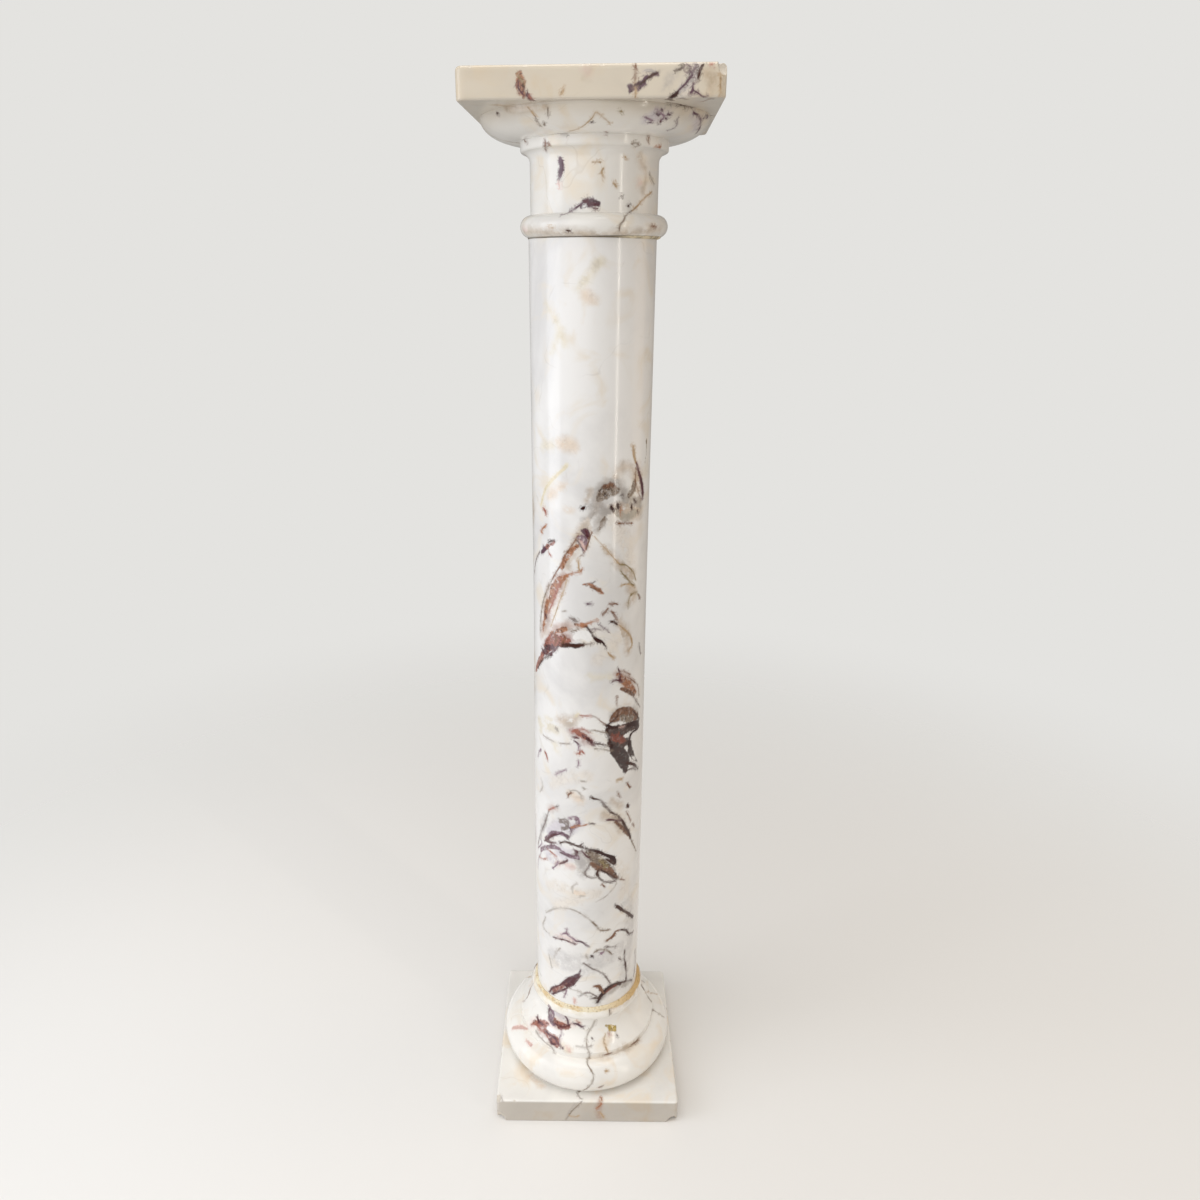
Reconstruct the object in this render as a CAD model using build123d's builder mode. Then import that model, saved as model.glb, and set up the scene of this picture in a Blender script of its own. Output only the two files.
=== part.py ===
from build123d import *
from math import asin, degrees, sqrt
import os

# A marble pedestal column in three stones. The base is one block: a square plinth under a torus,
# a fillet, a scotia and a collar bead. The shaft stands on the collar. The capital is one block:
# an astragal ring, a neck, a flat band, an echinus and a square abacus. Iron dowels in blind
# sockets keep the stones in line, and old setting putty shows at both joints.
# Millimetres, +Z up, origin at the centre of the plinth's underside, front towards -Y.

os.makedirs("parts", exist_ok=True)

# Base, from the ground up
plinth_side = 200.0
plinth_height = 29.0
plinth_corner_radius = 4.0
plinth_arris = 2.0
plinth_foot_arris = 0.8
torus_radius = 19.0
torus_setback = 4.0
torus_bed = 0.6
fillet_height = 7.6
scotia_height = 30.0
scotia_hollow = 3.5
collar_radius = 7.0
collar_projection = 6.0
collar_bed = 0.2

# Shaft
shaft_length = 795.5
shaft_foot_radius = 57.5
shaft_top_radius = 55.6
straight_foot_length = 175.0
taper_length = 340.0
shaft_arris = 0.8

# Capital, from the joint up
neck_inset = 1.0
neck_length = 40.5
astragal_radius = 9.0
cove_radius = 7.8
band_height = 8.0
band_edge_radius = 1.5
echinus_lip = 1.6
echinus_setback = 4.0
echinus_height = 17.5
abacus_side = 199.0
abacus_height = 23.0
abacus_corner_radius = 6.5
abacus_top_arris = 3.0
abacus_soffit_arris = 1.4

# How the capital now sits: turned clockwise in degrees, and slipped towards +X
capital_turn = 3.0
capital_slip = 1.0

# Dowels and the sockets drilled for them
dowel_radius = 8.0
dowel_chamfer = 1.5
dowel_depth = 45.0
dowel_clearance = 1.5
dowel_end_gap = 2.0

# Setting putty: a bead round the shaft's foot, and a crescent squeezed out under the astragal
bead_rise = 3.2
bead_width = 3.2
bead_toe = 0.8
bead_shift = 0.8
crescent_reach = 4.0
crescent_drop = 1.6
crescent_shift = 8.0

# Corner chips: the lengths lost along the edges that meet at a corner, across, inward and upright
foot_left_chip = (10.0, 7.0, 13.0)
foot_right_chip = (12.0, 6.0, 9.0)
top_left_chip = (5.0, 9.0, 4.0)
abacus_right_chip = (8.0, 9.0, 10.0)
chip_flatness = 1.6

# Radii that follow from the sizes above
torus_centre_radius = plinth_side / 2 - torus_setback - torus_radius
collar_centre_radius = shaft_foot_radius + collar_projection - collar_radius
neck_radius = shaft_top_radius - neck_inset
band_radius = neck_radius + cove_radius
echinus_foot_radius = band_radius + echinus_lip
echinus_reach = abacus_side / 2 - echinus_setback
socket_radius = dowel_radius + dowel_clearance

# Heights that follow from the sizes above
torus_centre_height = plinth_height + torus_radius - torus_bed
scotia_foot = torus_centre_height + torus_radius + fillet_height
collar_centre_height = scotia_foot + scotia_height + collar_radius
lower_joint = collar_centre_height + collar_radius
upper_joint = lower_joint + shaft_length
cove_foot = upper_joint + 2 * astragal_radius + neck_length
band_foot = cove_foot + cove_radius
echinus_foot = band_foot + band_height
abacus_foot = echinus_foot + echinus_height
upper_socket_depth = dowel_depth + dowel_end_gap

# Where the half-round mouldings begin, as angles on their own circles
torus_foot_angle = -degrees(asin(1 - torus_bed / torus_radius))
collar_foot_angle = -degrees(asin(1 - collar_bed / collar_radius))


def scar_sphere(corner, inward, bites):
    """Centre and radius of a sphere that cuts the three edges of a corner at the lengths in bites."""
    corner = Vector(*corner)
    along_x = corner + Vector(inward[0] * bites[0], 0, 0)
    along_y = corner + Vector(0, inward[1] * bites[1], 0)
    along_z = corner + Vector(0, 0, inward[2] * bites[2])
    u = along_y - along_x
    v = along_z - along_x
    normal = u.cross(v)
    to_centre = (normal.cross(u) * v.dot(v) + v.cross(normal) * u.dot(u)) * (0.5 / normal.dot(normal))
    radius = chip_flatness * to_centre.length
    if normal.dot(corner - along_x) < 0:
        normal = -normal
    stand_off = normal.normalized() * sqrt(radius**2 - to_centre.length**2)
    return along_x + to_centre + stand_off, radius


# Base: a worn square plinth with the mouldings turned above it, all in one stone
with BuildPart() as base:
    with BuildSketch():
        Rectangle(plinth_side, plinth_side)
    extrude(amount=plinth_height)
    fillet(base.edges().filter_by(Axis.Z), plinth_corner_radius)
    fillet(base.faces().sort_by(Axis.Z)[-1].edges(), plinth_arris)
    fillet(base.faces().sort_by(Axis.Z)[0].edges(), plinth_foot_arris)
    with BuildSketch(Plane.XZ):
        with BuildLine():
            torus = CenterArc(
                (torus_centre_radius, torus_centre_height),
                torus_radius,
                torus_foot_angle,
                90 - torus_foot_angle,
            )
            collar = CenterArc(
                (collar_centre_radius, collar_centre_height),
                collar_radius,
                collar_foot_angle,
                90 - collar_foot_angle,
            )
            fillet_face = Line(torus @ 1, (torus_centre_radius, scotia_foot))
            SagittaArc(fillet_face @ 1, collar @ 0, scotia_hollow)
            Polyline(collar @ 1, (0, lower_joint), (0, plinth_height), torus @ 0)
        make_face()
    revolve(axis=Axis.Z)
    with Locations((0, 0, lower_joint)):
        Hole(socket_radius, dowel_depth)
    for corner, inward, bites in (
        ((-plinth_side / 2, -plinth_side / 2, 0), (1, 1, 1), foot_left_chip),
        ((plinth_side / 2, -plinth_side / 2, 0), (-1, 1, 1), foot_right_chip),
        ((-plinth_side / 2, -plinth_side / 2, plinth_height), (1, 1, -1), top_left_chip),
    ):
        scar_centre, scar_radius = scar_sphere(corner, inward, bites)
        with Locations(scar_centre):
            Sphere(scar_radius, mode=Mode.SUBTRACT)
base.part.label = "base"

# Shaft: straight over its foot, then a slow taper, then straight again to the upper joint
with BuildPart() as shaft:
    with BuildSketch(Plane.XZ):
        with BuildLine():
            foot_side = Line(
                (shaft_foot_radius, lower_joint),
                (shaft_foot_radius, lower_joint + straight_foot_length),
            )
            taper = Spline(
                foot_side @ 1,
                (shaft_top_radius, lower_joint + straight_foot_length + taper_length),
                tangents=((0, 1), (0, 1)),
            )
            Polyline(
                taper @ 1,
                (shaft_top_radius, upper_joint),
                (0, upper_joint),
                (0, lower_joint),
                foot_side @ 0,
            )
        make_face()
    revolve(axis=Axis.Z)
    circles = shaft.edges().filter_by(GeomType.CIRCLE).sort_by(Axis.Z)
    chamfer((circles[0], circles[-1]), shaft_arris)
    with Locations(Plane((0, 0, lower_joint), z_dir=(0, 0, -1))):
        Hole(socket_radius, upper_socket_depth)
    with Locations((0, 0, upper_joint)):
        Hole(socket_radius, dowel_depth)
shaft.part.label = "shaft"

# Capital: the square abacus and the mouldings turned under it, on the capital's own axis, which
# stands a little askew on the shaft
capital_plane = Plane((capital_slip, 0, 0)).rotated((0, 0, -capital_turn))
capital_profile_plane = Plane(capital_plane.origin, x_dir=capital_plane.x_dir, z_dir=-capital_plane.y_dir)
with BuildPart() as capital:
    with BuildSketch(capital_plane.offset(abacus_foot)):
        Rectangle(abacus_side, abacus_side)
    extrude(amount=abacus_height)
    fillet(capital.edges().filter_by(Axis.Z), abacus_corner_radius)
    fillet(capital.faces().sort_by(Axis.Z)[-1].edges(), abacus_top_arris)
    fillet(capital.faces().sort_by(Axis.Z)[0].edges(), abacus_soffit_arris)
    with BuildSketch(capital_profile_plane):
        with BuildLine():
            astragal = CenterArc((neck_radius, upper_joint + astragal_radius), astragal_radius, -90, 180)
            neck = Line(astragal @ 1, (neck_radius, cove_foot))
            cove = CenterArc((band_radius, cove_foot), cove_radius, 180, -90)
            band = Polyline(cove @ 1, (band_radius, echinus_foot), (echinus_foot_radius, echinus_foot))
            echinus = EllipticalCenterArc(
                (echinus_foot_radius, abacus_foot),
                echinus_reach - echinus_foot_radius,
                echinus_height,
                start_angle=-90,
                arc_size=90,
            )
            Polyline(echinus @ 1, (0, abacus_foot), (0, upper_joint), astragal @ 0)
        make_face()
    revolve(axis=Axis(capital_plane.origin, capital_plane.z_dir))
    band_rim = capital.edges().filter_by(GeomType.CIRCLE).filter_by_position(
        Axis.Z, band_foot - band_edge_radius / 2, band_foot + band_edge_radius / 2
    )
    fillet(band_rim, band_edge_radius)
    with Locations(Plane((capital_slip, 0, upper_joint), z_dir=(0, 0, -1))):
        Hole(socket_radius, upper_socket_depth)
    corner = capital_plane.from_local_coords((abacus_side / 2, -abacus_side / 2, abacus_foot + abacus_height))
    scar_centre, scar_radius = scar_sphere(corner, (-1, 1, -1), abacus_right_chip)
    with Locations(scar_centre):
        Sphere(scar_radius, mode=Mode.SUBTRACT)
capital.part.label = "capital"

# Dowels: each stands on the floor of the lower socket, with a gap above it and all round
dowels = {}
for dowel_name, joint_height in (("lower_dowel", lower_joint), ("upper_dowel", upper_joint)):
    with BuildPart(Plane.XY.offset(joint_height - dowel_depth)) as dowel:
        Cylinder(dowel_radius, 2 * dowel_depth, align=(Align.CENTER, Align.CENTER, Align.MIN))
        chamfer(dowel.edges().filter_by(GeomType.CIRCLE), dowel_chamfer)
    dowel.part.label = dowel_name
    dowels[dowel_name] = dowel.part

# Putty bead in the corner between the shaft's foot and the crown of the collar, wider on the right
with BuildPart() as lower_putty:
    with BuildSketch(Plane.XZ):
        with BuildLine():
            bead_top = (bead_shift + shaft_foot_radius, lower_joint + bead_rise)
            bead_edge = (bead_shift + shaft_foot_radius + bead_width, lower_joint + bead_toe - bead_width / 2)
            slope = Line(bead_top, bead_edge)
            Polyline(
                bead_edge,
                (bead_edge[0], lower_joint - collar_radius),
                (bead_shift + shaft_foot_radius / 2, lower_joint - collar_radius),
                (bead_shift + shaft_foot_radius / 2, lower_joint + bead_rise),
                bead_top,
            )
        make_face()
    revolve(axis=Axis((bead_shift, 0, 0), (0, 0, 1)))
    add(base.part, mode=Mode.SUBTRACT)
    add(shaft.part, mode=Mode.SUBTRACT)
lower_putty.part.label = "lower_putty"

# Putty crescent under the right side of the astragal
with BuildPart() as upper_putty:
    with BuildSketch(Plane.XZ):
        with BuildLine():
            crescent_edge = shaft_top_radius + crescent_reach
            crescent_back = shaft_top_radius - crescent_reach
            Polyline(
                (crescent_edge - crescent_drop, upper_joint - crescent_drop),
                (crescent_edge, upper_joint),
                (crescent_edge, upper_joint + astragal_radius),
                (crescent_back, upper_joint + astragal_radius),
                (crescent_back, upper_joint - crescent_drop),
                close=True,
            )
        make_face()
    revolve(axis=Axis((crescent_shift, 0, 0), (0, 0, 1)))
    add(shaft.part, mode=Mode.SUBTRACT)
    add(capital.part, mode=Mode.SUBTRACT)
upper_putty.part.label = "upper_putty"

export_step(base.part, "parts/base.step")
export_step(shaft.part, "parts/shaft.step")
export_step(capital.part, "parts/capital.step")
export_step(lower_putty.part, "parts/lower_putty.step")
export_step(upper_putty.part, "parts/upper_putty.step")
for dowel_name, dowel_part in dowels.items():
    export_step(dowel_part, f"parts/{dowel_name}.step")
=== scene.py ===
# %% [markdown]
# # A salvaged marble column
# The real object is three turned stones: a base on a square plinth, a slim shaft and a capital
# under a square slab. This lesson dresses the measured solids of those stones with polished,
# veined marble. First comes the frame: the solids at their real size, which nothing here moves.

# %% Load the frame
import bpy
import numpy as np
from math import cos, pi, radians, sin, sqrt
from mathutils import Matrix, Vector
from mathutils.bvhtree import BVHTree


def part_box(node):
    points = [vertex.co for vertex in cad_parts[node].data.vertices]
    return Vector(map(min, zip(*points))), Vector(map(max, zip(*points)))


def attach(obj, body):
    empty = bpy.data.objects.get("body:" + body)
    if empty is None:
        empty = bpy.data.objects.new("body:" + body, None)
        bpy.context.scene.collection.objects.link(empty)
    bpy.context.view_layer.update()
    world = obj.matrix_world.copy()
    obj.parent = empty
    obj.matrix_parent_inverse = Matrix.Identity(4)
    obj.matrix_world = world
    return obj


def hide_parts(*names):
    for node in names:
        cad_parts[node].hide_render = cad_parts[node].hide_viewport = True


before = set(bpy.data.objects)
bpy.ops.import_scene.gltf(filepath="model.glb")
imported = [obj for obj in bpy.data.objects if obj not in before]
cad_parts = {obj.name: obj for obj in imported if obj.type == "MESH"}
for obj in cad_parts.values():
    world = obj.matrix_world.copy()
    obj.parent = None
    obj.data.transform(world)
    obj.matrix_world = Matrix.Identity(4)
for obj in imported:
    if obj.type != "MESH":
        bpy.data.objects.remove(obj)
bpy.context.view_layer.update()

MM = 0.001
print("nodes", sorted(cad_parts))

# %% [markdown]
# ## The camera
# A photograph can be read backwards: the square plinth, the round mouldings and the square slab
# fix where the lens was. It stood a little under the height of the top slab, about 0.85 m away,
# and looked 20 degrees down. The values below are that fit. The frame of the picture is 1200
# pixels square, and the lens is a little to the left of its middle, so the camera has a small shift.

# %% Camera from the fit
FRAME_PIXELS = 1200
FOCAL_PIXELS = 907.2
PRINCIPAL_PIXEL = (568.3, 603.1)
SENSOR = 36.0
EYE = Vector((-9.3, -849.0, 886.7)) * MM
HEADING, PITCH, ROLL = 0.819, -20.083, -0.061

camera_data = bpy.data.cameras.new("camera")
camera_data.sensor_width = SENSOR
camera_data.lens = FOCAL_PIXELS * SENSOR / FRAME_PIXELS
camera_data.shift_x = 0.5 - PRINCIPAL_PIXEL[0] / FRAME_PIXELS
camera_data.shift_y = PRINCIPAL_PIXEL[1] / FRAME_PIXELS - 0.5
camera = bpy.data.objects.new("camera", camera_data)
turn = Matrix.Rotation(radians(HEADING), 3, "Z") @ Matrix.Rotation(radians(90 + PITCH), 3, "X")
look = turn @ Matrix.Rotation(radians(ROLL), 3, "Z")
camera.matrix_world = Matrix.Translation(EYE) @ look.to_4x4()
bpy.context.scene.collection.objects.link(camera)
bpy.context.scene.camera = camera
print("lens", round(camera_data.lens, 2), "mm")

# %% [markdown]
# ## One grid for every stone
# A turned stone is a profile swung round an axis, and a square slab is the same thing with a
# square in place of the circle. So each stone here is one grid of rows and columns: every row is
# a closed outline, round or square, at its own height. That gives even, dense quads, which the
# veins need later, and smooth normals for the polish.

# %% Columns: the directions in which every row has a point
CORNER_STEPS = 6
END_LENGTH, END_STEP = 14.0, 1.0


def side_fractions(half_side, step):
    """Places along one side, from -1 to 1: close together near the corners, then a step apart."""
    middle = half_side - END_LENGTH
    count = round(2 * middle / step)
    ends = np.arange(middle, half_side - END_STEP / 2, END_STEP)
    inner = np.linspace(-middle, middle, count + 1)[1:-1]
    return np.concatenate([-ends[::-1] - END_STEP, [-middle], inner, ends, [half_side]])[1:] / half_side


def square_row(half_side, corner, steps, turn_deg=0.0):
    """One closed square outline with rounded corners; steps holds the step along each side."""
    points = []
    reach = half_side - corner
    for side, step in enumerate(steps):
        along = side_fractions(100.0, step) * reach
        straight = np.stack([along, np.full_like(along, -half_side)], 1)
        bend = np.radians(np.linspace(-90, 0, CORNER_STEPS + 2)[1:-1])
        round_off = np.stack([reach + corner * np.cos(bend), -reach + corner * np.sin(bend)], 1)
        quarter = radians(90 * side + turn_deg)
        spin = np.array([[cos(quarter), -sin(quarter)], [sin(quarter), cos(quarter)]])
        points.append(np.concatenate([straight, round_off]) @ spin.T)
    return np.concatenate(points)


FRONT_STEP, OTHER_STEP = 1.2, 2.0
SLAB_STEPS = (FRONT_STEP, OTHER_STEP, OTHER_STEP, OTHER_STEP)
print("columns", len(square_row(100.0, 3.0, SLAB_STEPS)))

# %% Rows: points along a profile
def arc(centre, radii, start_deg, end_deg, pitch):
    """Points on a circle or ellipse in the profile plane, about a pitch apart."""
    length = abs(radians(end_deg - start_deg)) * max(radii)
    angles = np.radians(np.linspace(start_deg, end_deg, max(2, round(length / pitch) + 1)))
    return [(centre[0] + radii[0] * cos(a), centre[1] + radii[1] * sin(a)) for a in angles]


def line(start, end, pitch):
    """Points on a straight stretch of the profile, about a pitch apart."""
    start, end = np.array(start, float), np.array(end, float)
    count = max(1, round(np.linalg.norm(end - start) / pitch))
    return [tuple(start + (end - start) * t) for t in np.linspace(0, 1, count + 1)]


def joined(*stretches):
    """One profile from several stretches, without the doubled points where they meet."""
    points = []
    for stretch in stretches:
        for p in stretch:
            if not points or np.hypot(p[0] - points[-1][0], p[1] - points[-1][1]) > 0.01:
                points.append(p)
    return points


def ring_row(directions, radius, height):
    """A round row: every column's direction at one radius."""
    flat = directions / np.linalg.norm(directions, axis=1, keepdims=True) * radius
    return np.column_stack([flat, np.full(len(flat), height)])


def level_row(outline, height):
    """A row of any outline at one height."""
    return np.column_stack([outline, np.full(len(outline), height)])


def worn_edge(half_side, corner, height, wear, up, turn_deg=0.0):
    """Rows over a rounded horizontal edge of a square slab, from its flat face to its side."""
    rows = []
    for angle in np.radians(np.linspace(0, 90, 5)[1:]):
        inset, rise = wear * (1 - sin(angle)), wear * (1 - cos(angle))
        outline = square_row(half_side - inset, corner - inset, SLAB_STEPS, turn_deg)
        rows.append(level_row(outline, height - rise if up else height + rise))
    return rows


def slab_side(half_side, corner, low, high, turn_deg=0.0):
    """Rows down the side of a square slab, between its two worn edges."""
    outline = square_row(half_side, corner, SLAB_STEPS, turn_deg)
    heights = np.linspace(high, low, round((high - low) / FACE_STEP) + 1)[1:-1]
    return [level_row(outline, z) for z in heights]


# %% [markdown]
# ## Chips
# Old marble loses its corners. A lost corner is a shallow scoop, so each chip here is a sphere
# that meets the three edges of a corner at measured lengths, and every point that lies inside
# the sphere is pushed out to its surface. A little unevenness makes it a fracture. The points
# keep a mark, so that the material can leave the scar unpolished. Small nicks along the edges
# are the same thing at 1 to 3 mm.

# %% Scars
CHIP_FLATNESS = 1.6
FRACTURE, FRACTURE_WAVES = 0.25, np.array([2.1, 1.7, 2.6])
FULL_SCAR, SHARP_ANGLE = 0.6, 32
NICK_SIZES, NICK_BITES, NICK_SPAN, ROUNDED_OFF = (2.0, 4.5), (0.2, 0.7), 0.93, 0.41
nick_random = np.random.default_rng(11)


def scar_sphere(corner, inward, bites):
    """Centre, radius and inward direction of the sphere that cuts a corner at the lengths in bites."""
    corner = Vector(corner)
    ends = [corner + Vector([inward[k] * bites[k] if k == axis else 0 for k in range(3)]) for axis in range(3)]
    u, v = ends[1] - ends[0], ends[2] - ends[0]
    normal = u.cross(v)
    to_centre = (normal.cross(u) * v.dot(v) + v.cross(normal) * u.dot(u)) * (0.5 / normal.dot(normal))
    radius = CHIP_FLATNESS * to_centre.length
    if normal.dot(corner - ends[0]) < 0:
        normal = -normal
    outward = normal.normalized()
    return ends[0] + to_centre + outward * sqrt(radius**2 - to_centre.length**2), radius, -outward


def scarred(points, spheres):
    """The points with every sphere scooped out along its direction, and how deep each was cut."""
    depth = np.zeros(len(points))
    for centre, radius, inward in spheres:
        away = points - np.array(centre)
        inside = np.linalg.norm(away, axis=1) < radius
        along = away[inside] @ np.array(inward)
        aside = (away[inside] ** 2).sum(1) - along**2
        grain = FRACTURE * (1 + np.sin(points[inside] @ FRACTURE_WAVES))
        push = np.sqrt(radius**2 - aside) - along
        points[inside] += (push + grain * np.clip(push, 0, 1))[:, None] * np.array(inward)
        depth[inside] = np.maximum(depth[inside], push)
    return points, depth


def edge_nicks(half_side, height, arris, count, turn_deg=0.0, shift=0.0):
    """Small spheres at seeded places along the four upper edges of a slab."""
    nicks = []
    for _ in range(count):
        size, bite = nick_random.uniform(*NICK_SIZES), nick_random.uniform(*NICK_BITES)
        along, side = nick_random.uniform(-NICK_SPAN, NICK_SPAN) * half_side, nick_random.integers(4)
        stand_off = (size - ROUNDED_OFF * arris - bite) / sqrt(2)
        quarter = radians(90 * side + turn_deg)
        tangent, outward = np.array([cos(quarter), sin(quarter)]), np.array([sin(quarter), -cos(quarter)])
        x, y = along * tangent + (half_side + stand_off) * outward
        inward = (-outward[0] / sqrt(2), -outward[1] / sqrt(2), -1 / sqrt(2))
        nicks.append(((x + shift, y, height + stand_off), size, inward))
    return nicks


def grid_object(name, rows, node, spheres=(), ring=False):
    """A closed mesh from rows of equal length; a row of one point closes an end, a ring itself."""
    points, depth = scarred(np.concatenate(rows), spheres)
    count = max(len(row) for row in rows)
    starts = np.cumsum([0] + [len(row) for row in rows])
    pairs = list(zip(range(len(rows)), range(1, len(rows)))) + ([(len(rows) - 1, 0)] if ring else [])
    faces = []
    for upper, lower in pairs:
        u, v = starts[upper], starts[lower]
        for i in range(count):
            j = (i + 1) % count
            if len(rows[upper]) == 1:
                faces.append((u, v + i, v + j))
            elif len(rows[lower]) == 1:
                faces.append((u + i, v, u + j))
            else:
                faces.append((u + i, v + i, v + j, u + j))
    mesh = bpy.data.meshes.new(name)
    mesh.from_pydata((points * MM).tolist(), [], faces)
    mesh.shade_smooth()
    mesh.set_sharp_from_angle(angle=radians(SHARP_ANGLE))
    scar = mesh.attributes.new("scar", "FLOAT", "POINT")
    scar.data.foreach_set("value", np.clip(depth / FULL_SCAR, 0, 1))
    piece = bpy.data.objects.new(name, mesh)
    bpy.context.scene.collection.objects.link(piece)
    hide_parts(node)
    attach(piece, "root")
    print(name, len(mesh.vertices), "points", sum(len(face) - 2 for face in faces), "triangles")
    return piece


# %% [markdown]
# ## The base
# One block: a square plinth whose edges have worn round, then a torus, a fillet, a scotia and a
# collar bead that were turned on a lathe. The rows run up the dowel socket's wall, over the collar,
# down the mouldings, out over the plinth and back under it.

# %% Base: the turned profile
base_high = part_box("base")[1] / MM
LOWER_JOINT = base_high.z
PLINTH_HALF = base_high.x
PLINTH_HEIGHT, PLINTH_CORNER, ARRIS, FOOT_WEAR = 29.0, 4.0, 2.0, 0.8
TORUS, TORUS_SETBACK, TORUS_BED = 19.0, 4.0, 0.6
FILLET_HEIGHT, SCOTIA_HOLLOW, COLLAR, COLLAR_BED = 7.6, 3.5, 7.0, 0.2
SOCKET, SOCKET_DEPTH, END_GAP = 9.5, 45.0, 2.0
FOOT_RADIUS, COLLAR_PROJECTION = 57.5, 6.0
FACE_STEP, TURNED_PITCH, COLLAR_PITCH, BED_PITCH, SOCKET_PITCH = 1.4, 1.3, 1.1, 12, 15

torus_centre = (PLINTH_HALF - TORUS_SETBACK - TORUS, PLINTH_HEIGHT + TORUS - TORUS_BED)
collar_centre = (FOOT_RADIUS + COLLAR_PROJECTION - COLLAR, LOWER_JOINT - COLLAR)
torus_start = -np.degrees(np.arcsin(1 - TORUS_BED / TORUS))
collar_start = -np.degrees(np.arcsin(1 - COLLAR_BED / COLLAR))
torus_line = arc(torus_centre, (TORUS, TORUS), 90, torus_start, TURNED_PITCH)
collar_line = arc(collar_centre, (COLLAR, COLLAR), 90, collar_start, COLLAR_PITCH)
rim = (torus_centre[0], torus_centre[1] + TORUS + FILLET_HEIGHT)


def sagging(start, end, hollow, pitch):
    """A shallow arc from start to end, hollowed to the left of the way from end to start."""
    start, end = np.array(start), np.array(end)
    chord = end - start
    length = np.hypot(*chord)
    radius = (length**2 / 4 + hollow**2) / (2 * hollow)
    outward = np.array([-chord[1], chord[0]]) / length
    centre = (start + end) / 2 + outward * (radius - hollow)
    first, last = (np.degrees(np.arctan2(*(p - centre)[::-1])) % 360 for p in (start, end))
    return arc(centre, (radius, radius), first, last, pitch)


scotia_line = sagging(collar_line[-1], rim, SCOTIA_HOLLOW, TURNED_PITCH)
turned = joined(
    line((SOCKET, LOWER_JOINT - SOCKET_DEPTH), (SOCKET, LOWER_JOINT), SOCKET_PITCH),
    line((SOCKET, LOWER_JOINT), (collar_centre[0], LOWER_JOINT), BED_PITCH),
    collar_line,
    scotia_line,
    line(rim, torus_line[0], TURNED_PITCH),
    torus_line,
)
print("profile rows", len(turned))

# %% Base: plinth rows and the finished grid
TREAD_ROWS, UNDER_SHARES = 14, (1.0, 0.7, 0.35)
plinth_outline = square_row(PLINTH_HALF - ARRIS, PLINTH_CORNER - ARRIS, SLAB_STEPS)
base_rows = [np.array([[0.0, 0.0, LOWER_JOINT - SOCKET_DEPTH]])]
base_rows += [ring_row(plinth_outline, r, z) for r, z in turned]
tread_start = base_rows[-1]
tread_end = level_row(plinth_outline, PLINTH_HEIGHT)
base_rows += [tread_start + (tread_end - tread_start) * t for t in np.linspace(0, 1, TREAD_ROWS + 1)[1:]]
base_rows += worn_edge(PLINTH_HALF, PLINTH_CORNER, PLINTH_HEIGHT, ARRIS, True)
base_rows += slab_side(PLINTH_HALF, PLINTH_CORNER, FOOT_WEAR, PLINTH_HEIGHT - ARRIS)
base_rows += worn_edge(PLINTH_HALF, PLINTH_CORNER, 0.0, FOOT_WEAR, False)[::-1]
under = square_row(PLINTH_HALF - FOOT_WEAR, PLINTH_CORNER - FOOT_WEAR, SLAB_STEPS)
base_rows += [level_row(under * share, 0.0) for share in UNDER_SHARES]
base_rows.append(np.array([[0.0, 0.0, 0.0]]))

FOOT_LEFT_CHIP, FOOT_RIGHT_CHIP, TOP_LEFT_CHIP = (10.0, 7.0, 13.0), (12.0, 6.0, 9.0), (5.0, 9.0, 4.0)
base_scars = [
    scar_sphere((-PLINTH_HALF, -PLINTH_HALF, 0), (1, 1, 1), FOOT_LEFT_CHIP),
    scar_sphere((PLINTH_HALF, -PLINTH_HALF, 0), (-1, 1, 1), FOOT_RIGHT_CHIP),
    scar_sphere((-PLINTH_HALF, -PLINTH_HALF, PLINTH_HEIGHT), (1, 1, -1), TOP_LEFT_CHIP),
]
base_scars += edge_nicks(PLINTH_HALF, PLINTH_HEIGHT, ARRIS, 16)
base = grid_object("base_stone", base_rows, "base", base_scars)

# %% [markdown]
# ## The shaft
# A separate, greyer stone. It stands straight over its foot, narrows by about 2 mm in radius, and
# is straight again below the capital. Its veins are fine, so the grid is dense where the stone is
# most veined, on the lower three quarters of the front, and open elsewhere.

# %% Shaft
shaft_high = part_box("shaft")[1] / MM
UPPER_JOINT = shaft_high.z
TOP_RADIUS, STRAIGHT_FOOT, TAPER, SHAFT_ARRIS = 55.6, 175.0, 340.0, 0.8
FRONT_ARC, FRONT_COLUMNS, BACK_COLUMNS = 190.0, 150, 64
VEINED_TOP, VEINED_STEP, PLAIN_STEP = 765.0, 1.6, 3.2


def shaft_radius(z):
    """The shaft's radius at a height: foot radius, then an eased taper, then the top radius."""
    t = np.clip((z - LOWER_JOINT - STRAIGHT_FOOT) / TAPER, 0, 1)
    return FOOT_RADIUS + (TOP_RADIUS - FOOT_RADIUS) * t * t * (3 - 2 * t)


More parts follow.
